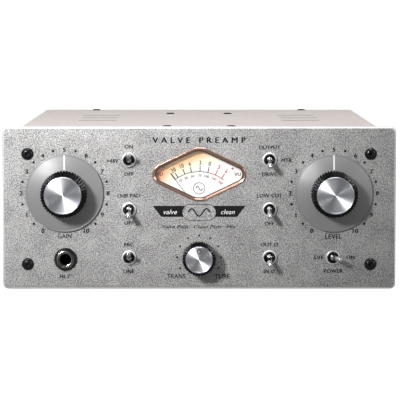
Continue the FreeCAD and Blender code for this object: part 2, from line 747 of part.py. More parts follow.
def female_input(name, x):
    mouth = "case_depth + socket_flange"
    recess = rod(name + "_recess", 9.5, (0, f"{mouth} - 13", 0), 14)
    slot = block(name + "_latch_slot", (-3.6, "case_depth - 4", 8.8), (3.6, "case_depth + 3", 13.6))
    shell = cut(name + "_body", socket_shell(name), recess, slot)
    contacts = [
        rod(f"{name}_contact_{count}", 1.3, (across, f"{mouth} - 14", up), 15)
        for count, (across, up) in enumerate(pin_places(4.4), start=1)
    ]
    # The contact block is a piece of its own on the floor of the recess, with a ring gap around it
    insert = cut(name + "_insert", rod(name + "_insert_block", 7.7, (0, f"{mouth} - 13", 0), 13), *contacts)
    keep(stand(group(name + "_parts", shell, insert), x, 0, "socket_height"), name)
    tab = block(name + "_tab_block", (-3.3, "case_depth - 3.5", 10.4), (3.3, "case_depth + 2.8", 13.3))
    keep(stand(group(name + "_tab", tab), x, 0, "socket_height"), name.replace("_input", "_latch"))


def male_output():
    mouth = "case_depth + socket_flange"
    recess = rod("output_recess", 9.4, (0, f"{mouth} - 15", 0), 16)
    pins = [
        rod(f"output_pin_{count}", 1.2, (across, f"{mouth} - 16", up), 14.5)
        for count, (across, up) in enumerate(pin_places(5.2), start=1)
    ]
    shell = cut("output_shell", socket_shell("output"), recess)
    keep(stand(joined("output_parts", shell, *pins), "line_out_x", 0, "socket_height"), "line_output")


def connector_screws():
    screw = turned("connector_screw", [
        (-6, 0), (-6, 1.4), ("socket_flange", 1.4), ("socket_flange", 2.7), ("socket_flange + 0.5", 2.7),
        ("socket_flange + 1", 2), ("socket_flange + 1", 0),
    ])
    places = [(x, "case_depth", z) for x, z in connector_screw_places()]
    keep(stand(copies("connector_screw_set", screw, places)), "connector_screws")


def mains_inlet():
    face = "case_depth + inlet_lip"
    flange = block("inlet_flange", (-15, "case_depth", -25), (15, face, 25))
    housing = block("inlet_housing", (-13.5, "case_depth - 24", -23.5), (13.5, face, 23.5))
    recess = block("inlet_recess", (-12.2, f"{face} - 17", 3), (12.2, f"{face} + 1", 19.2))
    drawer_bay = block("inlet_bay", (-11.2, f"{face} - 21", -15.2), (11.2, f"{face} + 1", -4.8))
    shell = cut("inlet_shell", joined("inlet_block", flange, housing), recess, drawer_bay)
    blades = [
        block(f"inlet_blade_{count}", (x - 1, f"{face} - 18", z - 2), (x + 1, f"{face} - 3", z + 2))
        for count, (x, z) in enumerate(((-7, 9.1), (0, 13.1), (7, 9.1)), start=1)
    ]
    keep(stand(joined("inlet_parts", shell, *blades), "-inlet_x", 0, "inlet_height"), "mains_inlet")
    drawer = block("drawer_front", (-11.1, f"{face} - 20.8", -15.1), (11.1, f"{face} - 0.3", -4.9))
    fuse_bay = block("drawer_bay", (-9, f"{face} - 19", -13), (9, f"{face} - 4", -4))
    finger = block("drawer_finger", (-5, f"{face} - 2", -16), (5, f"{face} + 1", -13.6))
    keep(stand(cut("drawer_body", drawer, fuse_bay, finger), "-inlet_x", 0, "inlet_height"), "fuse_drawer")


# Inside: mains transformer, circuit board, capacitors and the valve

def power_transformer():
    base = "case_low + sheet"
    ring = turned("toroid_ring", [
        (0, 8), (0, "toroid_radius - 5"), (5, "toroid_radius"), ("toroid_rise - 5", "toroid_radius"),
        ("toroid_rise", "toroid_radius - 5"), ("toroid_rise", 8),
    ], along="z")
    keep(stand(ring, "-toroid_x", "toroid_depth", base), "power_transformer")
    bolt = turned("toroid_bolt_body", [
        (0, 0), (0, 3), ("toroid_rise", 3), ("toroid_rise", 20), ("toroid_rise + 2", 20),
        ("toroid_rise + 2", 5), ("toroid_rise + 6", 5), ("toroid_rise + 6", 0),
    ], along="z")
    keep(stand(bolt, "-toroid_x", "toroid_depth", base), "transformer_bolt")


BOARD_POSTS = [(x, depth, "case_low + sheet") for x in (4, 84) for depth in (48, 145, 242)]
PILLARS = [(f"{sign} * cover_screw_x", depth, "case_low + sheet")
           for sign in (-1, 1) for depth in ("cover_screw_front", "cover_screw_middle")]


def main_board():
    board = block("board_plate", (-4, 40, "board_level"), (92, 250, "board_level + board_thick"))
    holes = [rod("board_pillar_hole", 4.2, ("cover_screw_x", "cover_screw_middle", "board_level - 1"), 4,
                 along="z")]
    keep(stand(cut("board_body", board, *holes)), "main_board")

    post = turned("board_post", [(0, 0), (0, 3), ("board_level - case_low - sheet", 3),
                                 ("board_level - case_low - sheet", 0)], along="z")
    rise = "case_top - case_low - 2 * sheet"
    pillar = turned("cover_pillar", [
        (0, 0), (0, 3), (rise, 3), (rise, 1.3), (f"{rise} - 8", 1.3), (f"{rise} - 8", 0),
    ], along="z")
    posts = group("standoff_set", copies("board_posts", post, BOARD_POSTS), copies("pillars", pillar, PILLARS))
    keep(stand(posts), "standoffs")


def capacitors():
    can = turned("capacitor_can", [(0, 0), (0, 8), (28, 8), (28, 0)], along="z")
    places = [(x, depth, "board_level + board_thick") for x in (22, 42) for depth in (90, 112, 134)]
    keep(stand(copies("capacitor_set", can, places)), "capacitors")


def valve():
    base = "board_level + board_thick"
    socket = turned("valve_socket_body", [(0, 0), (0, 12), (10, 12), (10, 0)], along="z")
    keep(stand(socket, "valve_x", "valve_depth", base), "valve_socket")
    glass = turned("valve_glass", [
        (0, 0), (0, 10.5), (42, 10.5), (48, 8), (51, 2.5), (54, 1), (54, 0),
    ], along="z")
    keep(stand(glass, "valve_x", "valve_depth", f"{base} + 10"), "preamp_valve")


front_panel()
panel_screws()
meter()
dial_knob(*KNOBS[0])
dial_knob(*KNOBS[1])
blend_knob(*KNOBS[2])
pot_nuts()
for toggle in TOGGLES:
    toggle_switch(*toggle)
toggle_nuts()
instrument_jack()
chassis_tray()
top_cover()
rear_panel()
rubber_feet()
cover_screws()
female_input("mic_input", "mic_x")
female_input("line_input", "line_in_x")
male_output()
connector_screws()
mains_inlet()
power_transformer()
main_board()
capacitors()
valve()

doc.recompute()
for item in doc.Objects:
    if {"Invalid", "Error"} & set(item.State):
        raise RuntimeError(f"{item.Name} failed: {item.State}")
for piece in pieces:
    if piece.Shape.isNull() or not piece.Shape.isValid():
        raise RuntimeError(f"{piece.Label} has no valid shape")

os.makedirs("parts", exist_ok=True)
for piece in pieces:
    piece.Shape.exportStep(f"parts/{piece.Label}.step")
box = Part.makeCompound([piece.Shape for piece in pieces]).BoundBox
print(len(pieces), "pieces; x", box.XMin, box.XMax, "y", box.YMin, box.YMax, "z", box.ZMin, box.ZMax)
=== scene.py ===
import math

import bmesh
import bpy
from mathutils import Matrix, Vector


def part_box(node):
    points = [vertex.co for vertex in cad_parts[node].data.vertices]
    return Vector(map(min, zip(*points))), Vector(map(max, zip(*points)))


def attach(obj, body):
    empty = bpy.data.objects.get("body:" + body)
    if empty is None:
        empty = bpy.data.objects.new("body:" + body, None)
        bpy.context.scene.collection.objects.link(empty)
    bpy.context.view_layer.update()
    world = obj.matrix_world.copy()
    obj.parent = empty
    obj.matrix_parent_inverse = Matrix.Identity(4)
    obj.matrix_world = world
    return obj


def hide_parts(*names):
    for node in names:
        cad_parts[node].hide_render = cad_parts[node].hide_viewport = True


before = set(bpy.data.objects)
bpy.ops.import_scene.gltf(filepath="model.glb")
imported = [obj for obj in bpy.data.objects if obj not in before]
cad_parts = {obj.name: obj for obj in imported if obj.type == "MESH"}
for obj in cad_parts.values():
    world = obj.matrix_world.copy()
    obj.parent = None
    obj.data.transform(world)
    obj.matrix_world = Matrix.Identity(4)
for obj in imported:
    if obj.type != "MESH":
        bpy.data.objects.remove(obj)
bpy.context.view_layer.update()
mm = 0.001


# Front panel. A thick aluminium plate with rounded corners and front edges, sprayed in a hammered
# silver-grey paint and held to the case by four screws. Everything else on the front is set out
# from its face, its lower edge and its middle.

panel_low, panel_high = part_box("front_panel")
face = panel_low.y
foot = panel_low.z
sharp_edge = math.radians(32)


def merged_copy(node, name, rim=0.0):
    """A CAD node's shape as one joined mesh, with its sharp edges broken by a small rim."""
    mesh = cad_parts[node].data.copy()
    shape = bmesh.new()
    shape.from_mesh(mesh)
    bmesh.ops.remove_doubles(shape, verts=shape.verts, dist=1e-6)
    bmesh.ops.dissolve_limit(shape, angle_limit=math.radians(0.5), verts=shape.verts, edges=shape.edges)
    if rim:
        corners = [edge for edge in shape.edges if edge.is_manifold and edge.calc_face_angle() > sharp_edge]
        bmesh.ops.bevel(shape, geom=corners, offset=rim, segments=2, profile=0.5, affect="EDGES",
                        clamp_overlap=True)
    shape.to_mesh(mesh)
    shape.free()
    return smooth_piece(name, mesh)


def smooth_piece(name, mesh, angle=sharp_edge):
    """A mesh as an object of the scene, smooth except at its sharp edges."""
    mesh.name = name
    mesh.shade_smooth()
    mesh.set_sharp_from_angle(angle=angle)
    piece = bpy.data.objects.new(name, mesh)
    bpy.context.scene.collection.objects.link(piece)
    return piece


def fit(piece, material, body, slot, *nodes):
    """Give a finished piece its material and body, in place of its CAD nodes. The slot is not used."""
    if material is not None:
        piece.data.materials.clear()
        piece.data.materials.append(material)
    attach(piece, body)
    if nodes:
        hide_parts(*nodes)
    return piece


def lay_out(columns):
    """Set nodes out in the editor from left to right, each column from the top down."""
    for column, nodes in enumerate(columns):
        for row, node in enumerate(nodes):
            node.location = (column * 220, -row * 260)


def hammered_paint(name, light, dark, grain, relief, roughness, metal):
    """Sprayed paint that dries in small dimples, with flecks that catch the light."""
    material = bpy.data.materials.new(name)
    material.use_nodes = True
    tree = material.node_tree
    tree.nodes.clear()
    place = tree.nodes.new("ShaderNodeTexCoord")
    place.label = "Place on the sheet"

    tone_frame = tree.nodes.new("NodeFrame")
    tone_frame.label = "Flecks and mottling of the colour"
    fleck = tree.nodes.new("ShaderNodeTexNoise")
    fleck.label = "Metal flecks"
    fleck.inputs["Scale"].default_value = grain
    fleck.inputs["Detail"].default_value = 3
    fleck.inputs["Roughness"].default_value = 0.7
    cloud = tree.nodes.new("ShaderNodeTexNoise")
    cloud.label = "Slow drift of the spray"
    cloud.inputs["Scale"].default_value = grain * 0.06
    cloud.inputs["Detail"].default_value = 2
    blend = tree.nodes.new("ShaderNodeMix")
    blend.label = "Flecks over drift"
    blend.inputs["Factor"].default_value = 0.12
    tone = tree.nodes.new("ShaderNodeValToRGB")
    tone.label = "Paint colour"
    tone.color_ramp.elements[0].position = 0.38
    tone.color_ramp.elements[0].color = (*dark, 1)
    tone.color_ramp.elements[1].position = 0.62
    tone.color_ramp.elements[1].color = (*light, 1)

    relief_frame = tree.nodes.new("NodeFrame")
    relief_frame.label = "Dimples of the dried paint"
    dimple = tree.nodes.new("ShaderNodeTexVoronoi")
    dimple.label = "Dimples"
    dimple.feature = "SMOOTH_F1"
    dimple.inputs["Scale"].default_value = grain * 0.75
    grit = tree.nodes.new("ShaderNodeTexNoise")
    grit.label = "Fine grit"
    grit.inputs["Scale"].default_value = grain * 2.4
    grit.inputs["Detail"].default_value = 2
    height = tree.nodes.new("ShaderNodeMath")
    height.label = "Dimples and grit"
    height.operation = "ADD"
    bump = tree.nodes.new("ShaderNodeBump")
    bump.label = "Relief of the paint"
    bump.inputs["Strength"].default_value = relief
    bump.inputs["Distance"].default_value = 0.12 * mm
    gloss = tree.nodes.new("ShaderNodeMapRange")
    gloss.label = "Duller between flecks"
    gloss.inputs["To Min"].default_value = roughness + 0.08
    gloss.inputs["To Max"].default_value = roughness - 0.08

    paint = tree.nodes.new("ShaderNodeBsdfPrincipled")
    paint.label = "Paint"
    paint.inputs["Metallic"].default_value = metal
    output = tree.nodes.new("ShaderNodeOutputMaterial")
    output.label = "Surface"
    for node in (fleck, cloud, blend, tone):
        node.parent = tone_frame
    for node in (dimple, grit, height, bump, gloss):
        node.parent = relief_frame
    lay_out(((place,), (fleck, cloud, dimple, grit), (blend, height), (tone, gloss, bump), (paint,),
             (output,)))

    tree.links.new(place.outputs["Object"], fleck.inputs["Vector"])
    tree.links.new(place.outputs["Object"], cloud.inputs["Vector"])
    tree.links.new(place.outputs["Object"], dimple.inputs["Vector"])
    tree.links.new(place.outputs["Object"], grit.inputs["Vector"])
    tree.links.new(fleck.outputs["Fac"], blend.inputs["A"])
    tree.links.new(cloud.outputs["Fac"], blend.inputs["B"])
    tree.links.new(blend.outputs["Result"], tone.inputs["Fac"])
    tree.links.new(dimple.outputs["Distance"], height.inputs[0])
    tree.links.new(grit.outputs["Fac"], height.inputs[1])
    tree.links.new(height.outputs["Value"], bump.inputs["Height"])
    tree.links.new(fleck.outputs["Fac"], gloss.inputs["Value"])
    tree.links.new(tone.outputs["Color"], paint.inputs["Base Color"])
    tree.links.new(gloss.outputs["Result"], paint.inputs["Roughness"])
    tree.links.new(bump.outputs["Normal"], paint.inputs["Normal"])
    tree.links.new(paint.outputs["BSDF"], output.inputs["Surface"])
    return material


panel_paint = hammered_paint("panel_hammered_paint", light=(0.585, 0.58, 0.575), dark=(0.09, 0.088, 0.087),
                             grain=1700, relief=0.6, roughness=0.44, metal=0.4)
plate = merged_copy("front_panel", "front_panel_plate")
fit(plate, panel_paint, "case", "panel_paint", "front_panel")
# Painted highlight: the rounded rims of the plate get a near-white copy of the paint, standing in for the
# light caught along the panel's edges.
edge_painted_highlight = hammered_paint("panel_rubbed_edge", light=(0.98, 0.97, 0.96), dark=(0.72, 0.71, 0.70),
                             grain=1700, relief=0.2, roughness=0.34, metal=0.3)
plate.data.materials.append(edge_painted_highlight)
edge_band = 1.3 * mm
flat_enough = 0.97
for polygon in plate.data.polygons:
    place = polygon.center
    at_rim = (place.x < panel_low.x + edge_band or place.x > panel_high.x - edge_band
              or place.z < panel_low.z + edge_band or place.z > panel_high.z - edge_band)
    if at_rim and abs(polygon.normal.y) < flat_enough:
        polygon.material_index = 1


# Printed lettering on the panel. Screen-printed in black before assembly: the names of the controls,
# the dial figures and the dots between them, each a thin raised layer of ink.

ink_height = 0.03 * mm
capital_share = 0.729        # a capital's height as a share of the type's size


def ink(name, colour, wear):
    """Screen-printing ink: matt, slightly uneven where the squeegee passed."""
    material = bpy.data.materials.new(name)
    material.use_nodes = True
    tree = material.node_tree
    tree.nodes.clear()
    place = tree.nodes.new("ShaderNodeTexCoord")
    place.label = "Place on the print"
    cover_frame = tree.nodes.new("NodeFrame")
    cover_frame.label = "Uneven cover of the ink"
    mesh_mark = tree.nodes.new("ShaderNodeTexNoise")
    mesh_mark.label = "Screen grain"
    mesh_mark.inputs["Scale"].default_value = 2600
    mesh_mark.inputs["Detail"].default_value = 2
    cover = tree.nodes.new("ShaderNodeValToRGB")
    cover.label = "Ink colour"
    cover.color_ramp.elements[0].color = (*colour, 1)
    cover.color_ramp.elements[1].color = (*[min(1, value + wear) for value in colour], 1)
    gloss = tree.nodes.new("ShaderNodeMapRange")
    gloss.label = "Matt and less matt"
    gloss.inputs["To Min"].default_value = 0.55
    gloss.inputs["To Max"].default_value = 0.75
    layer = tree.nodes.new("ShaderNodeBump")
    layer.label = "Grain of the ink"
    layer.inputs["Strength"].default_value = 0.2
    layer.inputs["Distance"].default_value = 0.02 * mm
    film = tree.nodes.new("ShaderNodeBsdfPrincipled")
    film.label = "Ink film"
    film.inputs["Specular IOR Level"].default_value = 0.15
    output = tree.nodes.new("ShaderNodeOutputMaterial")
    output.label = "Surface"
    for node in (mesh_mark, cover, gloss, layer):
        node.parent = cover_frame
    lay_out(((place,), (mesh_mark,), (cover, gloss, layer), (film,), (output,)))
    tree.links.new(place.outputs["Object"], mesh_mark.inputs["Vector"])
    tree.links.new(mesh_mark.outputs["Fac"], cover.inputs["Fac"])
    tree.links.new(mesh_mark.outputs["Fac"], gloss.inputs["Value"])
    tree.links.new(mesh_mark.outputs["Fac"], layer.inputs["Height"])
    tree.links.new(cover.outputs["Color"], film.inputs["Base Color"])
    tree.links.new(gloss.outputs["Result"], film.inputs["Roughness"])
    tree.links.new(layer.outputs["Normal"], film.inputs["Normal"])
    tree.links.new(film.outputs["BSDF"], output.inputs["Surface"])
    return material


def text_mesh(words, cap, weight, gap, lean):
    """Words as a solid mesh in the XY plane, centred, with capitals cap tall. Weight thickens the
    strokes by printing the words twice, a little apart."""
    curve = bpy.data.curves.new("type", "FONT")
    curve.body = words
    curve.size = cap / capital_share
    curve.resolution_u = 3
    curve.space_character = gap
    curve.shear = lean
    curve.extrude = ink_height / 2
    holder = bpy.data.objects.new("type", curve)
    prints = []
    for side in (-1, 1):
        mesh = bpy.data.meshes.new_from_object(holder)
        shift = side * weight * cap
        mesh.transform(Matrix.Translation((shift, shift * 0.4, side * ink_height * 0.1)))
        prints.append(mesh)
    bpy.data.objects.remove(holder)
    bpy.data.curves.remove(curve)
    mesh = one_mesh("words", prints)
    across = [vertex.co.x for vertex in mesh.vertices]
    mesh.transform(Matrix.Translation((-(min(across) + max(across)) / 2, -cap / 2, 0)))
    return mesh


def wording(words, x, z, cap, width=None, weight=0.0, gap=1.05, lean=0.0, turn=0.0, up=foot, plane=face):
    """Words on an upright plane, centred at x and z in millimetres, turned clockwise in degrees."""
    mesh = text_mesh(words, cap * mm, weight, gap, lean)
    if width:
        across = [vertex.co.x for vertex in mesh.vertices]
        mesh.transform(Matrix.Scale(width * mm / (max(across) - min(across)), 4, (1, 0, 0)))
    mesh.transform(Matrix.Rotation(-math.radians(turn), 4, "Z"))
    mesh.transform(Matrix.Rotation(math.radians(90), 4, "X"))
    mesh.transform(Matrix.Translation((x * mm, plane - ink_height / 2, up + z * mm)))
    return mesh


def sheet_shape(corners, plane, thickness=ink_height, up=foot):
    """A flat shape cut from a thin sheet; corners in millimetres, x and z, in order round it."""
    shape = bmesh.new()
    area = sum(a[0] * b[1] - b[0] * a[1] for a, b in zip(corners, corners[1:] + corners[:1]))
    ordered = corners if area > 0 else corners[::-1]
    front = [shape.verts.new((x * mm, plane - thickness, up + z * mm)) for x, z in ordered]
    back = [shape.verts.new((x * mm, plane, up + z * mm)) for x, z in ordered]
    shape.faces.new(front)
    shape.faces.new(back[::-1])
    for index in range(len(front)):
        after = (index + 1) % len(front)
        shape.faces.new((front[after], front[index], back[index], back[after]))
    mesh = bpy.data.meshes.new("shape")
    shape.to_mesh(mesh)
    shape.free()
    return mesh


def stripe(points, width, plane, up=foot):
    """A printed line of even width through points, in millimetres."""
    left, right = [], []
    for index, point in enumerate(points):
        before = points[max(index - 1, 0)]
        after = points[min(index + 1, len(points) - 1)]
        along = Vector((after[0] - before[0], after[1] - before[1])).normalized()
        side = Vector((-along.y, along.x)) * width / 2
        left.append((point[0] + side.x, point[1] + side.y))
        right.append((point[0] - side.x, point[1] - side.y))
    return sheet_shape(left + right[::-1], plane, up=up)


def one_mesh(name, meshes):
    """Several meshes as one."""
    whole = bmesh.new()
    for mesh in meshes:
        whole.from_mesh(mesh)
        bpy.data.meshes.remove(mesh)
    bmesh.ops.remove_doubles(whole, verts=whole.verts, dist=1e-7)
    mesh = bpy.data.meshes.new(name)
    whole.to_mesh(mesh)
    whole.free()
    return mesh


def round_points(x, z, radius, start=0, stop=360, steps=24):
    """Points on an arc, in millimetres, with angles clockwise from straight up."""
    turns = [math.radians(start + (stop - start) * step / steps) for step in range(steps + 1)]
    if abs(stop - start) >= 360:
        turns = turns[:-1]
    return [(x + radius * math.sin(turn), z + radius * math.cos(turn)) for turn in turns]


dial_places = {"gain": (-72.9, 52.1), "level": (72.9, 52.1)}
blend_place = (0, 17.2)
toggle_out = 38.1
scale_radius = 23.6
small_cap = 2.1
title_cap = 2.6
figure_cap = 2.5
labels = [
    ("ON", -toggle_out, 77.3), ("OFF", -toggle_out, 62.5), ("+48V", -46.9, 69.6),
    ("15dB PAD", -toggle_out, 50.8), ("OFF", -toggle_out, 35.9), ("MIC", -toggle_out, 24.2),
    ("LINE", -toggle_out, 9.6), ("OUTPUT", toggle_out, 76.9), ("DRIVE", toggle_out, 62.3),
    ("MTR", 47.4, 70.0), ("LOW CUT", toggle_out, 50.8), ("OFF", toggle_out, 35.6),
    ("OUT Ø", toggle_out, 24.2), ("IN Ø", toggle_out, 9.6), ("OFF", 64.9, 17.2), ("ON", 82.1, 17.2),
    ("POWER", 72.9, 9.8), ("HI-Z", -72.7, 6.9),
]
printing = [wording(words, x, z, small_cap, weight=0.05) for words, x, z in labels]
titles = (("GAIN", -72.9, 28.8, 7.4), ("LEVEL", 72.9, 28.6, 9.0), ("TRANS", -12.4, 7.0, 9.8),
          ("TUBE", 12.6, 7.0, 8.2))
for words, x, z, width in titles:
    printing.append(wording(words, x, z, title_cap, width=width, weight=0.03))
printing.append(wording("VALVE PREAMP", 0, 80.9, 3.2, width=50.5, weight=0.05, gap=1.7))
printing.append(wording("Valve Path · Clean Path · Mix", 0, 33.9, 1.9, width=40, weight=0.03, lean=0.25))
for x, z in dial_places.values():
    for figure in range(11):
        turn = math.radians(-150 + 30 * figure)
        printing.append(wording(str(figure), x + scale_radius * math.sin(turn),
                                z + scale_radius * math.cos(turn), figure_cap, weight=0.065))
black_ink = ink("black_ink", (0.004, 0.004, 0.004), 0.008)
lettering = smooth_piece("panel_lettering", one_mesh("panel_lettering", printing))
fit(lettering, black_ink, "case", "panel_paint")


# Dots of the dial scales. Small printed rounds between the figures, and a ring of them round the
# blend knob, stepped off evenly about each knob's middle.

def ring_tree():
    """Geometry Nodes: the modifier's own shape, stepped round a circle in the panel's plane."""
    tree = bpy.data.node_groups.new("stepped_round_a_ring", "GeometryNodeTree")
    tree.interface.new_socket("Geometry", in_out="INPUT", socket_type="NodeSocketGeometry")
    for name, kind in (("Count", "NodeSocketInt"), ("Radius", "NodeSocketFloat"),
                       ("Start", "NodeSocketFloat"), ("Step", "NodeSocketFloat"),
                       ("Middle", "NodeSocketVector"), ("Finish", "NodeSocketMaterial")):
        tree.interface.new_socket(name, in_out="INPUT", socket_type=kind)
    tree.interface.new_socket("Geometry", in_out="OUTPUT", socket_type="NodeSocketGeometry")
    given = tree.nodes.new("NodeGroupInput")
    points = tree.nodes.new("GeometryNodePoints")
    points.label = "One point for each"
    number = tree.nodes.new("GeometryNodeInputIndex")
    number.label = "Which one"
    turn = tree.nodes.new("ShaderNodeMath")
    turn.label = "Its angle from the top"
    turn.operation = "MULTIPLY_ADD"
    sine = tree.nodes.new("ShaderNodeMath")
    sine.operation = "SINE"
    cosine = tree.nodes.new("ShaderNodeMath")
    cosine.operation = "COSINE"
    spoke = tree.nodes.new("ShaderNodeCombineXYZ")
    spoke.label = "Direction from the middle"
    reach = tree.nodes.new("ShaderNodeVectorMath")
    reach.label = "Out to the ring"
    reach.operation = "SCALE"
    place = tree.nodes.new("ShaderNodeVectorMath")
    place.label = "About the middle"
    place.operation = "ADD"
    set_out = tree.nodes.new("GeometryNodeSetPosition")
    copies = tree.nodes.new("GeometryNodeInstanceOnPoints")
    real = tree.nodes.new("GeometryNodeRealizeInstances")
    finish = tree.nodes.new("GeometryNodeSetMaterial")
    result = tree.nodes.new("NodeGroupOutput")
    lay_out(((given,), (points, number), (turn,), (sine, cosine), (spoke,), (reach,), (place,), (set_out,),
             (copies,), (real,), (finish,), (result,)))
    tree.links.new(given.outputs["Count"], points.inputs["Count"])
    tree.links.new(number.outputs["Index"], turn.inputs[0])
    tree.links.new(given.outputs["Step"], turn.inputs[1])
    tree.links.new(given.outputs["Start"], turn.inputs[2])
    tree.links.new(turn.outputs["Value"], sine.inputs[0])
    tree.links.new(turn.outputs["Value"], cosine.inputs[0])
    tree.links.new(sine.outputs["Value"], spoke.inputs["X"])
    tree.links.new(cosine.outputs["Value"], spoke.inputs["Z"])
    tree.links.new(spoke.outputs["Vector"], reach.inputs[0])
    tree.links.new(given.outputs["Radius"], reach.inputs["Scale"])
    tree.links.new(reach.outputs["Vector"], place.inputs[0])
    tree.links.new(given.outputs["Middle"], place.inputs[1])
    tree.links.new(points.outputs["Geometry"], set_out.inputs["Geometry"])
    tree.links.new(place.outputs["Vector"], set_out.inputs["Position"])
    tree.links.new(set_out.outputs["Geometry"], copies.inputs["Points"])
    tree.links.new(given.outputs["Geometry"], copies.inputs["Instance"])
    tree.links.new(copies.outputs["Instances"], real.inputs["Geometry"])
    tree.links.new(real.outputs["Geometry"], finish.inputs["Geometry"])
    tree.links.new(given.outputs["Finish"], finish.inputs["Material"])
    tree.links.new(finish.outputs["Geometry"], result.inputs["Geometry"])
    return tree


def grown(name, mesh, tree, values):
    """A mesh put through a Geometry Nodes tree with its named inputs set, as a plain mesh."""
    holder = bpy.data.objects.new(name + "_growing", mesh)
    bpy.context.scene.collection.objects.link(holder)
    modifier = holder.modifiers.new("grow", "NODES")
    modifier.node_group = tree
    sockets = {item.name: item.identifier for item in tree.interface.items_tree if item.in_out == "INPUT"}
    for socket, value in values.items():
        modifier[sockets[socket]] = value
    holder.update_tag()
    view = bpy.context.evaluated_depsgraph_get()
    result = bpy.data.meshes.new_from_object(holder.evaluated_get(view), depsgraph=view)
    holder.modifiers.clear()
    bpy.data.objects.remove(holder)
    bpy.data.meshes.remove(mesh)
    result.name = name
    return result


ring = ring_tree()


def printed_round(radius, plane=face, up=0.0):
    return sheet_shape(round_points(0, 0, radius), plane, up=up)


dots = []
for name, (x, z) in dial_places.items():
    dots.append(grown(f"{name}_dots", printed_round(0.68), ring, {
        "Count": 10, "Radius": scale_radius * mm, "Start": math.radians(-135), "Step": math.radians(30),
        "Middle": (x * mm, 0, foot + z * mm), "Finish": black_ink,
    }))
dots.append(grown("blend_dots", printed_round(0.55), ring, {
    "Count": 9, "Radius": 11.95 * mm, "Start": math.radians(-120), "Step": math.radians(30),
    "Middle": (blend_place[0] * mm, 0, foot + blend_place[1] * mm), "Finish": black_ink,
}))
fit(smooth_piece("scale_dots", one_mesh("scale_dots", dots)), black_ink, "case", "panel_paint")


# Name band under the meter. A black printed band with tapered ends, and in its middle a plain oval
# left in the panel's own paint with a sine wave, the sign for sound.

band_low, band_high = 39.2, 45.2
band_wide, band_narrow = 25.2, 20.5
oval_half, oval_round, oval_middle = 9.0, 4.2, 41.6


def oval(grow):
    right = round_points(oval_half - oval_round, oval_middle, oval_round + grow, 0, 180, 16)
    left = round_points(-(oval_half - oval_round), oval_middle, oval_round + grow, 180, 360, 16)
    return right + left


band = sheet_shape([(-band_narrow, band_low), (band_narrow, band_low), (band_wide, band_high),
                    (-band_wide, band_high)], face)
oval_line = sheet_shape(oval(0.3), face - ink_height * 0.5, ink_height)
fit(smooth_piece("name_band", one_mesh("name_band", [band, oval_line])), black_ink, "case", "panel_paint")
oval_field = sheet_shape(oval(0), face - ink_height, ink_height)
oval_field.name = "name_oval"
fit(smooth_piece("name_oval", oval_field), panel_paint, "case", "panel_paint")
wave_length, wave_height, wave_turns, wave_steps = 12, 2.0, 1.5, 48
wave_points = [(-wave_length / 2 + wave_length * step / wave_steps,
                oval_middle + wave_height * math.sin(math.radians(360 * wave_turns * step / wave_steps)))
               for step in range(wave_steps + 1)]
wave = stripe(wave_points, 0.75, face - ink_height * 1.9)
wave.name = "name_wave"
fit(smooth_piece("name_wave", wave), black_ink, "case", "panel_paint")
white_ink = ink("white_ink", (0.80, 0.80, 0.79), 0.05)
band_words = [wording(words, x, 42.0, 2.6, weight=0.01, lean=0.3, plane=face - ink_height * 0.9)
              for words, x in (("valve", -15.6), ("clean", 15.6))]
fit(smooth_piece("band_wording", one_mesh("band_wording", band_words)), white_ink, "case", "panel_paint")


# Spun aluminium: the dials' skirts and the knobs' caps. Each is faced on a lathe, so fine rings run
# round its middle and the light draws out into wedges.

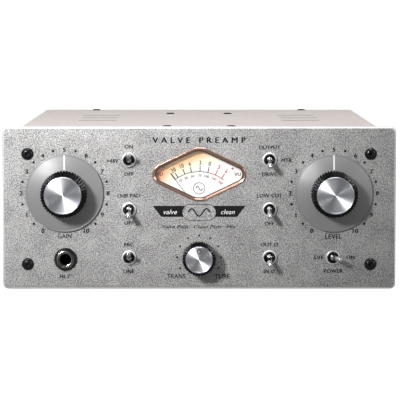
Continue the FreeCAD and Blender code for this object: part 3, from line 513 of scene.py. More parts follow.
def spun_metal(name, middle, colour, roughness, rings, stretch, metallic=1.0):
    """Lathe-faced aluminium, with rings about an axis that runs front to back through middle."""
    material = bpy.data.materials.new(name)
    material.use_nodes = True
    tree = material.node_tree
    tree.nodes.clear()
    place = tree.nodes.new("ShaderNodeTexCoord")
    place.label = "Place on the piece"
    centre = tree.nodes.new("ShaderNodeMapping")
    centre.label = "Measured from the lathe's axis"
    centre.inputs["Location"].default_value = (-middle.x, 0, -middle.z)
    centre.inputs["Scale"].default_value = (1, 0, 1)

    ring_frame = tree.nodes.new("NodeFrame")
    ring_frame.label = "Rings left by the tool"
    out = tree.nodes.new("ShaderNodeVectorMath")
    out.label = "Distance from the axis"
    out.operation = "LENGTH"
    groove = tree.nodes.new("ShaderNodeTexNoise")
    groove.label = "Uneven grooves"
    groove.noise_dimensions = "1D"
    groove.inputs["Scale"].default_value = rings
    groove.inputs["Detail"].default_value = 4
    relief = tree.nodes.new("ShaderNodeBump")
    relief.label = "Groove relief"
    relief.inputs["Strength"].default_value = 0.25
    relief.inputs["Distance"].default_value = 0.02 * mm

    tone_frame = tree.nodes.new("NodeFrame")
    tone_frame.label = "Colour and polish"
    smear = tree.nodes.new("ShaderNodeTexNoise")
    smear.label = "Handling marks"
    smear.inputs["Scale"].default_value = 260
    smear.inputs["Detail"].default_value = 3
    tone = tree.nodes.new("ShaderNodeValToRGB")
    tone.label = "Aluminium colour"
    tone.color_ramp.elements[0].position = 0.3
    tone.color_ramp.elements[0].color = (*[value * 0.82 for value in colour], 1)
    tone.color_ramp.elements[1].position = 0.7
    tone.color_ramp.elements[1].color = (*colour, 1)
    polish = tree.nodes.new("ShaderNodeMapRange")
    polish.label = "Duller where handled"
    polish.inputs["To Min"].default_value = roughness - 0.04
    polish.inputs["To Max"].default_value = roughness + 0.06
    around = tree.nodes.new("ShaderNodeTangent")
    around.label = "Direction of the rings"
    around.direction_type = "RADIAL"
    around.axis = "Y"

    metal = tree.nodes.new("ShaderNodeBsdfPrincipled")
    metal.label = "Aluminium"
    metal.inputs["Metallic"].default_value = metallic
    metal.inputs["Anisotropic"].default_value = stretch
    metal.inputs["Anisotropic Rotation"].default_value = 0.25
    output = tree.nodes.new("ShaderNodeOutputMaterial")
    output.label = "Surface"
    for node in (out, groove, relief):
        node.parent = ring_frame
    for node in (smear, tone, polish, around):
        node.parent = tone_frame
    lay_out(((place,), (centre,), (out, smear), (groove, around), (relief, tone, polish), (metal,),
             (output,)))

    tree.links.new(place.outputs["Object"], centre.inputs["Vector"])
    tree.links.new(place.outputs["Object"], smear.inputs["Vector"])
    tree.links.new(centre.outputs["Vector"], out.inputs[0])
    tree.links.new(out.outputs["Value"], groove.inputs["W"])
    tree.links.new(groove.outputs["Fac"], relief.inputs["Height"])
    tree.links.new(groove.outputs["Fac"], tone.inputs["Fac"])
    tree.links.new(smear.outputs["Fac"], polish.inputs["Value"])
    tree.links.new(tone.outputs["Color"], metal.inputs["Base Color"])
    tree.links.new(polish.outputs["Result"], metal.inputs["Roughness"])
    tree.links.new(around.outputs["Tangent"], metal.inputs["Tangent"])
    tree.links.new(relief.outputs["Normal"], metal.inputs["Normal"])
    tree.links.new(metal.outputs["BSDF"], output.inputs["Surface"])
    return material


def turned(profile, middle, segments=128):
    """A closed lathe shape: corners (depth behind the panel's face, radius) in millimetres, with a
    third number where the ring is a regular polygon of that many sides."""
    shape = bmesh.new()
    rings = []
    for depth, radius, *sides in profile:
        y = face + depth * mm
        if radius == 0:
            rings.append([shape.verts.new((middle.x, y, middle.z))])
            continue
        ring_points = []
        for step in range(segments):
            turn = 2 * math.pi * step / segments
            out = radius * mm
            if sides:
                part = 2 * math.pi / sides[0]
                out *= math.cos(part / 2) / math.cos(turn % part - part / 2)
            ring_points.append(shape.verts.new((middle.x + out * math.cos(turn), y,
                                                middle.z + out * math.sin(turn))))
        rings.append(ring_points)
    for near, far in zip(rings, rings[1:] + rings[:1]):
        if len(near) == len(far) == 1:
            continue
        for step in range(segments):
            after = (step + 1) % segments
            corners = [near[step % len(near)], near[after % len(near)], far[after % len(far)],
                       far[step % len(far)]]
            shape.faces.new(list(dict.fromkeys(corners)))
    bmesh.ops.recalc_face_normals(shape, faces=shape.faces)
    mesh = bpy.data.meshes.new("turned")
    shape.to_mesh(mesh)
    shape.free()
    return mesh


def axis_of(node):
    low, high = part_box(node)
    return (low + high) / 2


def radius_of(node):
    low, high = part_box(node)
    return (high.x - low.x) / 2 / mm


def reach_of(node):
    """How far a node stands out from the panel's face, in millimetres."""
    return (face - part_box(node)[0].y) / mm


gap = (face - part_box("gain_skirt")[1].y) / mm
skirt_radius = radius_of("gain_skirt")
grip_radius = radius_of("gain_grip")
bore_radius = 7.9
skirt_profile = [
    (-gap, bore_radius), (-gap, skirt_radius - 0.35), (-gap - 0.12, skirt_radius - 0.1),
    (-gap - 0.3, skirt_radius),
    (-gap - 0.95, skirt_radius), (-gap - 1.15, skirt_radius - 0.1), (-gap - 1.25, skirt_radius - 0.45),
    (-gap - 1.15, skirt_radius - 0.75), (-gap - 1.3, skirt_radius - 1.1), (-gap - 2.6, grip_radius + 0.2),
    (-gap - 2.6, bore_radius),
]
for name in ("gain", "level"):
    middle = axis_of(f"{name}_cap")
    satin = spun_metal(f"{name}_spun_skirt", middle, (0.30, 0.30, 0.305), 0.44, 5200, 0.6, metallic=0.22)
    skirt = smooth_piece(f"{name}_spun_dial", turned(skirt_profile, middle, 160))
    fit(skirt, satin, f"{name}_knob", "spun_aluminium", f"{name}_skirt")


def cap_profile(radius, front, deep):
    """A turned cap: rolled rim, a shallow step and a face with the least of a dome."""
    return [(-front + deep, 0), (-front + deep, radius - 0.02), (-front + 0.5, radius - 0.02),
            (-front + 0.15, radius - 0.12), (-front, radius - 0.4), (-front + 0.04, radius - 0.7),
            (-front + 0.28, radius - 0.85), (-front + 0.22, radius * 0.6), (-front + 0.18, radius * 0.3),
            (-front + 0.16, 0)]


cap_depth = 3
for name in ("gain", "level", "blend"):
    node = f"{name}_cap"
    middle = axis_of(node)
    bright = spun_metal(f"{name}_spun_cap", middle, (0.93, 0.95, 1.0), 0.38, 8000, 0.9)
    profile = cap_profile(radius_of(node), reach_of(node), cap_depth)
    fit(smooth_piece(f"{name}_turned_cap", turned(profile, middle)), bright, f"{name}_knob", "spun_aluminium",
        node)


# Marks on the knobs: a white filled line from the grip to the skirt's edge on each dial, and a small
# engraved ring near the top of the blend knob's cap.

mark_half, mark_deep, paint_proud = 0.42, 0.3, 0.04
for name in ("gain", "level"):
    middle = axis_of(f"{name}_cap")
    mark = bmesh.new()
    rows = []
    for radius, depth in ((grip_radius + 0.1, gap + 2.6), (skirt_radius - 1.1, gap + 1.32),
                          (skirt_radius - 0.2, gap + 1.3)):
        y = face - (depth + paint_proud) * mm
        rows.append([mark.verts.new((middle.x + side * mark_half * mm, y + back * mm, middle.z + radius * mm))
                     for back in (0, mark_deep) for side in (-1, 1)])
    for low, high in zip(rows, rows[1:]):
        for a, b in ((0, 1), (1, 3), (3, 2), (2, 0)):
            mark.faces.new((low[a], low[b], high[b], high[a]))
    for row in (rows[0], rows[-1]):
        mark.faces.new((row[0], row[1], row[3], row[2]))
    bmesh.ops.recalc_face_normals(mark, faces=mark.faces)
    mesh = bpy.data.meshes.new("mark")
    mark.to_mesh(mesh)
    mark.free()
    fit(smooth_piece(f"{name}_pointer", mesh), white_ink, f"{name}_knob", "spun_aluminium")
middle = axis_of("blend_cap")
mark_plane = face - (reach_of("blend_cap") - 0.2) * mm
mark_up = 4.6
outer = round_points(0, mark_up, 1.3)
inner = round_points(0, mark_up, 0.95)
sectors = []
for index in range(len(outer)):
    after = (index + 1) % len(outer)
    sectors.append(sheet_shape([outer[index], outer[after], inner[after], inner[index]], mark_plane,
                               up=middle.z))
fit(smooth_piece("blend_mark", one_mesh("blend_mark", sectors)), black_ink, "blend_knob", "spun_aluminium")


# Knurled grips. Turned aluminium rings, black anodised, rolled with a coarse diamond knurl that leaves
# pointed teeth for the fingers; each is pressed onto its shaft behind the cap.

def plated_metal(name, colour, roughness, wear, metal=1.0):
    """Polished or tumbled metal under a thin finish, with fine scratches and thinner places."""
    material = bpy.data.materials.new(name)
    material.use_nodes = True
    tree = material.node_tree
    tree.nodes.clear()
    place = tree.nodes.new("ShaderNodeTexCoord")
    place.label = "Place on the piece"
    finish_frame = tree.nodes.new("NodeFrame")
    finish_frame.label = "Thickness of the finish"
    patch = tree.nodes.new("ShaderNodeTexNoise")
    patch.label = "Thick and thin places"
    patch.inputs["Scale"].default_value = 420
    patch.inputs["Detail"].default_value = 3
    tone = tree.nodes.new("ShaderNodeValToRGB")
    tone.label = "Finish colour"
    tone.color_ramp.elements[0].position = 0.35
    tone.color_ramp.elements[0].color = (*[value * (1 - wear) for value in colour], 1)
    tone.color_ramp.elements[1].position = 0.65
    tone.color_ramp.elements[1].color = (*colour, 1)
    gloss = tree.nodes.new("ShaderNodeMapRange")
    gloss.label = "Rubbed brighter in places"
    gloss.inputs["To Min"].default_value = roughness * 0.8
    gloss.inputs["To Max"].default_value = roughness * 1.25
    scratch_frame = tree.nodes.new("NodeFrame")
    scratch_frame.label = "Fine scratches"
    draw = tree.nodes.new("ShaderNodeMapping")
    draw.label = "Drawn out sideways"
    draw.inputs["Scale"].default_value = (0.15, 1, 1)
    scratch = tree.nodes.new("ShaderNodeTexNoise")
    scratch.label = "Scratches"
    scratch.inputs["Scale"].default_value = 5200
    scratch.inputs["Detail"].default_value = 2
    relief = tree.nodes.new("ShaderNodeBump")
    relief.label = "Scratch relief"
    relief.inputs["Strength"].default_value = 0.06
    relief.inputs["Distance"].default_value = 0.02 * mm
    metal_node = tree.nodes.new("ShaderNodeBsdfPrincipled")
    metal_node.label = "Metal"
    metal_node.inputs["Metallic"].default_value = metal
    output = tree.nodes.new("ShaderNodeOutputMaterial")
    output.label = "Surface"
    for node in (patch, tone, gloss):
        node.parent = finish_frame
    for node in (draw, scratch, relief):
        node.parent = scratch_frame
    lay_out(((place,), (patch, draw), (tone, gloss, scratch), (relief,), (metal_node,), (output,)))
    tree.links.new(place.outputs["Object"], patch.inputs["Vector"])
    tree.links.new(place.outputs["Object"], draw.inputs["Vector"])
    tree.links.new(draw.outputs["Vector"], scratch.inputs["Vector"])
    tree.links.new(patch.outputs["Fac"], tone.inputs["Fac"])
    tree.links.new(patch.outputs["Fac"], gloss.inputs["Value"])
    tree.links.new(scratch.outputs["Fac"], relief.inputs["Height"])
    tree.links.new(tone.outputs["Color"], metal_node.inputs["Base Color"])
    tree.links.new(gloss.outputs["Result"], metal_node.inputs["Roughness"])
    tree.links.new(relief.outputs["Normal"], metal_node.inputs["Normal"])
    tree.links.new(metal_node.outputs["BSDF"], output.inputs["Surface"])
    return material


def knurl_tree():
    """Geometry Nodes: one tooth repeated round a grip in rows, each row half a tooth further round."""
    tree = bpy.data.node_groups.new("rows_of_teeth", "GeometryNodeTree")
    tree.interface.new_socket("Geometry", in_out="INPUT", socket_type="NodeSocketGeometry")
    for name, kind in (("Around", "NodeSocketInt"), ("Count", "NodeSocketInt"),
                       ("Radius", "NodeSocketFloat"), ("Row Growth", "NodeSocketFloat"),
                       ("Row Step", "NodeSocketFloat"), ("Front", "NodeSocketVector"),
                       ("Finish", "NodeSocketMaterial")):
        tree.interface.new_socket(name, in_out="INPUT", socket_type=kind)
    tree.interface.new_socket("Geometry", in_out="OUTPUT", socket_type="NodeSocketGeometry")
    given = tree.nodes.new("NodeGroupInput")
    points = tree.nodes.new("GeometryNodePoints")
    points.label = "One point for each tooth"
    number = tree.nodes.new("GeometryNodeInputIndex")
    number.label = "Which tooth"
    column = tree.nodes.new("ShaderNodeMath")
    column.label = "Its place in the row"
    column.operation = "MODULO"
    share = tree.nodes.new("ShaderNodeMath")
    share.operation = "DIVIDE"
    row = tree.nodes.new("ShaderNodeMath")
    row.label = "Which row"
    row.operation = "FLOOR"
    shifted = tree.nodes.new("ShaderNodeMath")
    shifted.label = "Half a tooth on with each row"
    shifted.operation = "MULTIPLY_ADD"
    shifted.inputs[1].default_value = 0.5
    part_turn = tree.nodes.new("ShaderNodeMath")
    part_turn.label = "Angle of one tooth"
    part_turn.operation = "DIVIDE"
    part_turn.inputs[0].default_value = 2 * math.pi
    turn = tree.nodes.new("ShaderNodeMath")
    turn.label = "Angle of this tooth"
    turn.operation = "MULTIPLY"
    sine = tree.nodes.new("ShaderNodeMath")
    sine.operation = "SINE"
    cosine = tree.nodes.new("ShaderNodeMath")
    cosine.operation = "COSINE"
    spoke = tree.nodes.new("ShaderNodeCombineXYZ")
    spoke.label = "Direction from the middle"
    swell = tree.nodes.new("ShaderNodeMath")
    swell.label = "Radius of its row"
    swell.operation = "MULTIPLY_ADD"
    reach_out = tree.nodes.new("ShaderNodeVectorMath")
    reach_out.label = "Out to the grip's surface"
    reach_out.operation = "SCALE"
    back = tree.nodes.new("ShaderNodeMath")
    back.label = "Back to its row"
    back.operation = "MULTIPLY"
    along = tree.nodes.new("ShaderNodeCombineXYZ")
    along.label = "Step back"
    radial_place = tree.nodes.new("ShaderNodeVectorMath")
    radial_place.operation = "ADD"
    place = tree.nodes.new("ShaderNodeVectorMath")
    place.label = "From the front row's middle"
    place.operation = "ADD"
    set_out = tree.nodes.new("GeometryNodeSetPosition")
    lean = tree.nodes.new("ShaderNodeCombineXYZ")
    lean.label = "Facing outwards"
    facing = tree.nodes.new("FunctionNodeEulerToRotation")
    copies = tree.nodes.new("GeometryNodeInstanceOnPoints")
    real = tree.nodes.new("GeometryNodeRealizeInstances")
    finish = tree.nodes.new("GeometryNodeSetMaterial")
    result = tree.nodes.new("NodeGroupOutput")
    lay_out(((given,), (points, number), (column, share), (row,), (shifted, part_turn), (turn,),
             (sine, cosine, swell), (spoke, back), (reach_out, along), (radial_place,), (place,),
             (set_out, lean), (facing,), (copies,), (real,), (finish,), (result,)))
    tree.links.new(given.outputs["Count"], points.inputs["Count"])
    tree.links.new(number.outputs["Index"], column.inputs[0])
    tree.links.new(given.outputs["Around"], column.inputs[1])
    tree.links.new(number.outputs["Index"], share.inputs[0])
    tree.links.new(given.outputs["Around"], share.inputs[1])
    tree.links.new(share.outputs["Value"], row.inputs[0])
    tree.links.new(row.outputs["Value"], shifted.inputs[0])
    tree.links.new(column.outputs["Value"], shifted.inputs[2])
    tree.links.new(given.outputs["Around"], part_turn.inputs[1])
    tree.links.new(shifted.outputs["Value"], turn.inputs[0])
    tree.links.new(part_turn.outputs["Value"], turn.inputs[1])
    tree.links.new(turn.outputs["Value"], sine.inputs[0])
    tree.links.new(turn.outputs["Value"], cosine.inputs[0])
    tree.links.new(sine.outputs["Value"], spoke.inputs["X"])
    tree.links.new(cosine.outputs["Value"], spoke.inputs["Z"])
    tree.links.new(spoke.outputs["Vector"], reach_out.inputs[0])
    tree.links.new(row.outputs["Value"], swell.inputs[0])
    tree.links.new(given.outputs["Row Growth"], swell.inputs[1])
    tree.links.new(given.outputs["Radius"], swell.inputs[2])
    tree.links.new(swell.outputs["Value"], reach_out.inputs["Scale"])
    tree.links.new(row.outputs["Value"], back.inputs[0])
    tree.links.new(given.outputs["Row Step"], back.inputs[1])
    tree.links.new(back.outputs["Value"], along.inputs["Y"])
    tree.links.new(reach_out.outputs["Vector"], radial_place.inputs[0])
    tree.links.new(along.outputs["Vector"], radial_place.inputs[1])
    tree.links.new(radial_place.outputs["Vector"], place.inputs[0])
    tree.links.new(given.outputs["Front"], place.inputs[1])
    tree.links.new(points.outputs["Geometry"], set_out.inputs["Geometry"])
    tree.links.new(place.outputs["Vector"], set_out.inputs["Position"])
    tree.links.new(turn.outputs["Value"], lean.inputs["Y"])
    tree.links.new(lean.outputs["Vector"], facing.inputs["Euler"])
    tree.links.new(set_out.outputs["Geometry"], copies.inputs["Points"])
    tree.links.new(given.outputs["Geometry"], copies.inputs["Instance"])
    tree.links.new(facing.outputs["Rotation"], copies.inputs["Rotation"])
    tree.links.new(copies.outputs["Instances"], real.inputs["Geometry"])
    tree.links.new(real.outputs["Geometry"], finish.inputs["Geometry"])
    tree.links.new(given.outputs["Finish"], finish.inputs["Material"])
    tree.links.new(finish.outputs["Geometry"], result.inputs["Geometry"])
    return tree


def tooth_mesh(width, length, height):
    """One tooth of the knurl, pointing along Z, with a small flat top and its root sunk in."""
    root, root_depth, tip = 0.96, 0.12, 0.16
    shape = bmesh.new()
    loops = []
    for share, z in ((root, -root_depth), (tip, height)):
        loops.append([shape.verts.new((x * width * share / 2 * mm, y * length * share / 2 * mm, z * mm))
                      for x, y in ((1, 0), (0, 1), (-1, 0), (0, -1))])
    for step in range(4):
        after = (step + 1) % 4
        shape.faces.new((loops[0][step], loops[0][after], loops[1][after], loops[1][step]))
    shape.faces.new(loops[1])
    shape.faces.new(loops[0][::-1])
    mesh = bpy.data.meshes.new("tooth")
    shape.to_mesh(mesh)
    shape.free()
    return mesh


knurl = knurl_tree()
anodised = plated_metal("knurled_black_anodising", (0.032, 0.032, 0.034), 0.3, 0.3, metal=1)
# Painted shade: the grip under the teeth is black anodised like them, but made near-black and matt to stand
# in for the shade between the teeth.
grip_core_painted_shade = plated_metal("painted_shade_between_the_teeth", (0.003, 0.003, 0.003), 0.6, 0.3, metal=0)
tooth_height = 1.4
nose_rows = 6
nose_step = 1.0
first_row = 0.8
for name, around in (("gain", 24), ("level", 24), ("blend", 18)):
    low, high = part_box(f"{name}_grip")
    middle = (low + high) / 2
    near = (low.y - face) / mm
    far = (high.y - face) / mm
    core = radius_of(f"{name}_grip") - tooth_height - 0.05
    seat = radius_of(f"{name}_cap") + 0.05
    nose = seat + 0.3
    nose_length = nose_rows * nose_step
    grip_profile = [(near + 1.5, 0), (near + 1.5, seat), (near + 0.1, seat), (near, seat + 0.08),
                    (near + 0.05, seat + 0.2), (near + nose_length, core),
                    (far - 0.9, core), (far - 0.6, core - 0.5), (far, core - 0.5), (far, 0)]
    rows = int(far - near - nose_length - 1.2)
    tooth_width = 2 * math.pi * core / around
    nose_tooth = tooth_mesh(tooth_width * 0.95, 2 * nose_step, tooth_height)
    nose_teeth = grown(f"{name}_nose_teeth", nose_tooth, knurl, {
        "Around": around, "Count": around * nose_rows, "Radius": nose * mm,
        "Row Growth": (core - nose) / nose_rows * mm, "Row Step": nose_step * mm,
        "Front": (middle.x, low.y + first_row * mm, middle.z), "Finish": anodised,
    })
    teeth = grown(f"{name}_teeth", tooth_mesh(tooth_width, 2 * nose_step, tooth_height), knurl, {
        "Around": around, "Count": around * rows, "Radius": core * mm, "Row Growth": 0.0,
        "Row Step": nose_step * mm, "Finish": anodised,
        "Front": (middle.x, low.y + (first_row + nose_length) * mm, middle.z),
    })
    grip = smooth_piece(f"{name}_knurled_grip", turned(grip_profile, middle, 96))
    fit(grip, grip_core_painted_shade, f"{name}_knob", "knurled_black", f"{name}_grip")
    all_teeth = one_mesh(f"{name}_knurling", [nose_teeth, teeth])
    knurling = smooth_piece(f"{name}_knurling", all_teeth, math.radians(20))
    fit(knurling, anodised, f"{name}_knob", "knurled_black")


# Screws of the front panel. Four black-oxide button heads with hexagon sockets, one near each corner,
# that hold the plate to the case.

def grid_tree():
    """Geometry Nodes: the modifier's own shape, set out in rows and columns from a corner."""
    tree = bpy.data.node_groups.new("set_out_in_rows", "GeometryNodeTree")
    tree.interface.new_socket("Geometry", in_out="INPUT", socket_type="NodeSocketGeometry")
    for name, kind in (("Across", "NodeSocketInt"), ("Count", "NodeSocketInt"),
                       ("Corner", "NodeSocketVector"), ("Column Step", "NodeSocketVector"),
                       ("Row Step", "NodeSocketVector"), ("Finish", "NodeSocketMaterial")):
        tree.interface.new_socket(name, in_out="INPUT", socket_type=kind)
    tree.interface.new_socket("Geometry", in_out="OUTPUT", socket_type="NodeSocketGeometry")
    given = tree.nodes.new("NodeGroupInput")
    points = tree.nodes.new("GeometryNodePoints")
    points.label = "One point for each"
    number = tree.nodes.new("GeometryNodeInputIndex")
    number.label = "Which one"
    column = tree.nodes.new("ShaderNodeMath")
    column.label = "Its column"
    column.operation = "MODULO"
    share = tree.nodes.new("ShaderNodeMath")
    share.operation = "DIVIDE"
    row = tree.nodes.new("ShaderNodeMath")
    row.label = "Its row"
    row.operation = "FLOOR"
    sideways = tree.nodes.new("ShaderNodeVectorMath")
    sideways.label = "Along to its column"
    sideways.operation = "SCALE"
    onward = tree.nodes.new("ShaderNodeVectorMath")
    onward.label = "On to its row"
    onward.operation = "SCALE"
    both = tree.nodes.new("ShaderNodeVectorMath")
    both.operation = "ADD"
    place = tree.nodes.new("ShaderNodeVectorMath")
    place.label = "From the corner"
    place.operation = "ADD"
    set_out = tree.nodes.new("GeometryNodeSetPosition")
    copies = tree.nodes.new("GeometryNodeInstanceOnPoints")
    real = tree.nodes.new("GeometryNodeRealizeInstances")
    finish = tree.nodes.new("GeometryNodeSetMaterial")
    result = tree.nodes.new("NodeGroupOutput")
    lay_out(((given,), (points, number), (column, share), (row,), (sideways, onward), (both,), (place,),
             (set_out,), (copies,), (real,), (finish,), (result,)))
    tree.links.new(given.outputs["Count"], points.inputs["Count"])
    tree.links.new(number.outputs["Index"], column.inputs[0])
    tree.links.new(given.outputs["Across"], column.inputs[1])
    tree.links.new(number.outputs["Index"], share.inputs[0])
    tree.links.new(given.outputs["Across"], share.inputs[1])
    tree.links.new(share.outputs["Value"], row.inputs[0])
    tree.links.new(given.outputs["Column Step"], sideways.inputs[0])
    tree.links.new(column.outputs["Value"], sideways.inputs["Scale"])
    tree.links.new(given.outputs["Row Step"], onward.inputs[0])
    tree.links.new(row.outputs["Value"], onward.inputs["Scale"])
    tree.links.new(sideways.outputs["Vector"], both.inputs[0])
    tree.links.new(onward.outputs["Vector"], both.inputs[1])
    tree.links.new(both.outputs["Vector"], place.inputs[0])
    tree.links.new(given.outputs["Corner"], place.inputs[1])
    tree.links.new(points.outputs["Geometry"], set_out.inputs["Geometry"])
    tree.links.new(place.outputs["Vector"], set_out.inputs["Position"])
    tree.links.new(set_out.outputs["Geometry"], copies.inputs["Points"])
    tree.links.new(given.outputs["Geometry"], copies.inputs["Instance"])
    tree.links.new(copies.outputs["Instances"], real.inputs["Geometry"])
    tree.links.new(real.outputs["Geometry"], finish.inputs["Geometry"])
    tree.links.new(given.outputs["Finish"], finish.inputs["Material"])
    tree.links.new(finish.outputs["Geometry"], result.inputs["Geometry"])
    return tree


def in_grid(name, mesh, across, count, corner, column_step, row_step, finish):
    """A shape in rows of so many across, from a corner."""
    return grown(name, mesh, grid, {"Across": across, "Count": count, "Corner": corner,
                                    "Column Step": column_step, "Row Step": row_step, "Finish": finish})


grid = grid_tree()
origin = Vector((0, 0, 0))
black_oxide = plated_metal("black_oxide_screws", (0.022, 0.022, 0.024), 0.2, 0.3, metal=0.5)
panel_screw_profile = [(8.8, 0), (8.8, 1.6), (0.05, 1.6), (0.05, 3.3), (-0.35, 3.33), (-0.8, 3.12),
                       (-1.2, 2.75), (-1.5, 2.3), (-1.7, 1.8), (-1.75, 1.5), (-1.72, 1.2, 6), (-0.5, 1.15, 6),
                       (-0.4, 0)]
screw_out, screw_low, screw_rise = 92.9, 13.5, 59.9
panel_screw = turned(panel_screw_profile, origin, 48)
screws = in_grid("panel_button_screws", panel_screw, 2, 4, (-screw_out * mm, 0, foot + screw_low * mm),
                 (2 * screw_out * mm, 0, 0), (0, 0, screw_rise * mm), black_oxide)
fit(smooth_piece("panel_button_screws", screws), black_oxide, "case", "black_oxide", "panel_screws")


# Toggle switches. Chrome bats on ball pivots in plated bushes, held by round dress nuts in front of
# the panel; phenolic bodies with solder lugs behind it.

def moulded(name, colour, roughness, grain, relief, coat=0.0):
    """Moulded plastic, rubber or wrap: even colour, a slight pull in the tone and a fine skin."""
    material = bpy.data.materials.new(name)
    material.use_nodes = True
    tree = material.node_tree
    tree.nodes.clear()
    place = tree.nodes.new("ShaderNodeTexCoord")
    place.label = "Place on the moulding"
    tone_frame = tree.nodes.new("NodeFrame")
    tone_frame.label = "Colour of the moulding"
    flow = tree.nodes.new("ShaderNodeTexNoise")
    flow.label = "Flow marks"
    flow.inputs["Scale"].default_value = grain * 0.2
    flow.inputs["Detail"].default_value = 2
    tone = tree.nodes.new("ShaderNodeValToRGB")
    tone.label = "Body colour"
    tone.color_ramp.elements[0].position = 0.3
    tone.color_ramp.elements[0].color = (*[value * 0.82 for value in colour], 1)
    tone.color_ramp.elements[1].position = 0.7
    tone.color_ramp.elements[1].color = (*colour, 1)
    gloss = tree.nodes.new("ShaderNodeMapRange")
    gloss.label = "Duller where handled"
    gloss.inputs["To Min"].default_value = roughness - 0.05
    gloss.inputs["To Max"].default_value = roughness + 0.08
    skin_frame = tree.nodes.new("NodeFrame")
    skin_frame.label = "Skin of the tool"
    pit = tree.nodes.new("ShaderNodeTexVoronoi")
    pit.label = "Fine pits"
    pit.inputs["Scale"].default_value = grain
    bump = tree.nodes.new("ShaderNodeBump")
    bump.label = "Relief of the skin"
    bump.inputs["Strength"].default_value = relief
    bump.inputs["Distance"].default_value = 0.06 * mm
    body = tree.nodes.new("ShaderNodeBsdfPrincipled")
    body.label = "Moulding"
    body.inputs["Coat Weight"].default_value = coat
    output = tree.nodes.new("ShaderNodeOutputMaterial")
    output.label = "Surface"
    for node in (flow, tone, gloss):
        node.parent = tone_frame
    for node in (pit, bump):
        node.parent = skin_frame
    lay_out(((place,), (flow, pit), (tone, gloss, bump), (body,), (output,)))
    tree.links.new(place.outputs["Object"], flow.inputs["Vector"])
    tree.links.new(place.outputs["Object"], pit.inputs["Vector"])
    tree.links.new(flow.outputs["Fac"], tone.inputs["Fac"])
    tree.links.new(flow.outputs["Fac"], gloss.inputs["Value"])
    tree.links.new(pit.outputs["Distance"], bump.inputs["Height"])
    tree.links.new(tone.outputs["Color"], body.inputs["Base Color"])
    tree.links.new(gloss.outputs["Result"], body.inputs["Roughness"])
    tree.links.new(bump.outputs["Normal"], body.inputs["Normal"])
    tree.links.new(body.outputs["BSDF"], output.inputs["Surface"])
    return material


def second_finish(piece, material, where):
    """Give the faces whose middle passes the test a second material."""
    piece.data.materials.append(material)
    for polygon in piece.data.polygons:
        if where(polygon.center):
            polygon.material_index = 1


chrome = plated_metal("bright_chrome", (0.86, 0.86, 0.88), 0.1, 0.06)
# Painted shade: the bushes are plated metal, made nearly black so that they stand in for the shade in the
# hole round each bat.
bush_painted_shade = plated_metal("plated_bush_painted_shade", (0.07, 0.068, 0.065), 0.3, 0.4)
phenolic = moulded("blue_phenolic", (0.05, 0.07, 0.15), 0.45, 900, 0.25)
bush_length = 6
for name in ("phantom", "pad", "input", "meter", "low_cut", "polarity", "power"):
    lever = merged_copy(f"{name}_lever", f"{name}_bat")
    fit(lever, chrome, f"{name}_lever", "chrome", f"{name}_lever")
    switch = merged_copy(f"{name}_switch", f"{name}_switch_body", rim=0.15 * mm)
    fit(switch, phenolic, "case", "switch_body", f"{name}_switch")
    second_finish(switch, bush_painted_shade, lambda place: place.y < face + bush_length * mm)
satin_nickel = plated_metal("satin_nickel_nuts", (0.92, 0.92, 0.93), 0.3, 0.06, metal=0.5)
fit(merged_copy("toggle_nuts", "toggle_dress_nuts", rim=0.25 * mm), satin_nickel, "case", "chrome",
    "toggle_nuts")


# Instrument jack. A black threaded nut round a bright bush, set straight into the panel, with the
# moulded socket and its two lugs behind.

bright_nickel = plated_metal("bright_nickel_bush", (0.72, 0.68, 0.62), 0.16, 0.12)
black_nylon = moulded("black_nylon", (0.02, 0.02, 0.021), 0.38, 1100, 0.2)
jack_middle = axis_of("jack_nut")
jack_bore, jack_bush_length = 3.28, 5
jack_nut_profile = [(0, 4.9), (0, 6.15), (-1.2, 6.15), (-1.45, 6.0), (-1.6, 5.65), (-2.35, 5.5),
                    (-2.65, 5.3), (-2.75, 5.0), (-2.6, 4.72), (-1.9, 4.72), (-0.3, 4.72)]
jack_nut = smooth_piece("jack_round_nut", turned(jack_nut_profile, jack_middle, 96))
fit(jack_nut, black_oxide, "case", "black_oxide", "jack_nut")
jack = merged_copy("jack_socket", "instrument_jack", rim=0.3 * mm)
fit(jack, black_nylon, "case", "black_plastic", "jack_socket")
second_finish(jack, bright_nickel, lambda place: (
    place.y < face + jack_bush_length * mm
    and math.hypot(place.x - jack_middle.x, place.z - jack_middle.z) > jack_bore * mm))


# Meter. A pressed bezel with a rose-tinted plating follows a rounded diamond cut in the panel and
# holds a clear window; behind it are the printed card, the needle and two small lamps in a case.

meter_up = 62.3
side_middle, side_round = 19.5, 6.0
peak_middle, peak_round = 4.0, 10.7
lean = 25.25                 # of the diamond's sides, in degrees from level


def diamond(grow):
    """Points round the meter's rounded diamond, larger all round by grow, in millimetres."""
    return (
        round_points(0, meter_up + peak_middle, peak_round + grow, -lean, lean, 12)
        + round_points(side_middle, meter_up, side_round + grow, lean, 180 - lean, 16)
        + round_points(0, meter_up - peak_middle, peak_round + grow, 180 - lean, 180 + lean, 12)
        + round_points(-side_middle, meter_up, side_round + grow, 180 + lean, 360 - lean, 16)
    )


def diamond_ring(name, profile):
    """A closed ring in the diamond's outline; the profile is (growth, depth) in millimetres."""
    shape = bmesh.new()
    loops = [[shape.verts.new((x * mm, face + depth * mm, foot + z * mm)) for x, z in diamond(grow)]
             for grow, depth in profile]
    for near, far in zip(loops, loops[1:] + loops[:1]):
        for step in range(len(near)):
            after = (step + 1) % len(near)
            shape.faces.new((near[step], near[after], far[after], far[step]))
    bmesh.ops.recalc_face_normals(shape, faces=shape.faces)
    mesh = bpy.data.meshes.new(name)
    shape.to_mesh(mesh)
    shape.free()
    return mesh


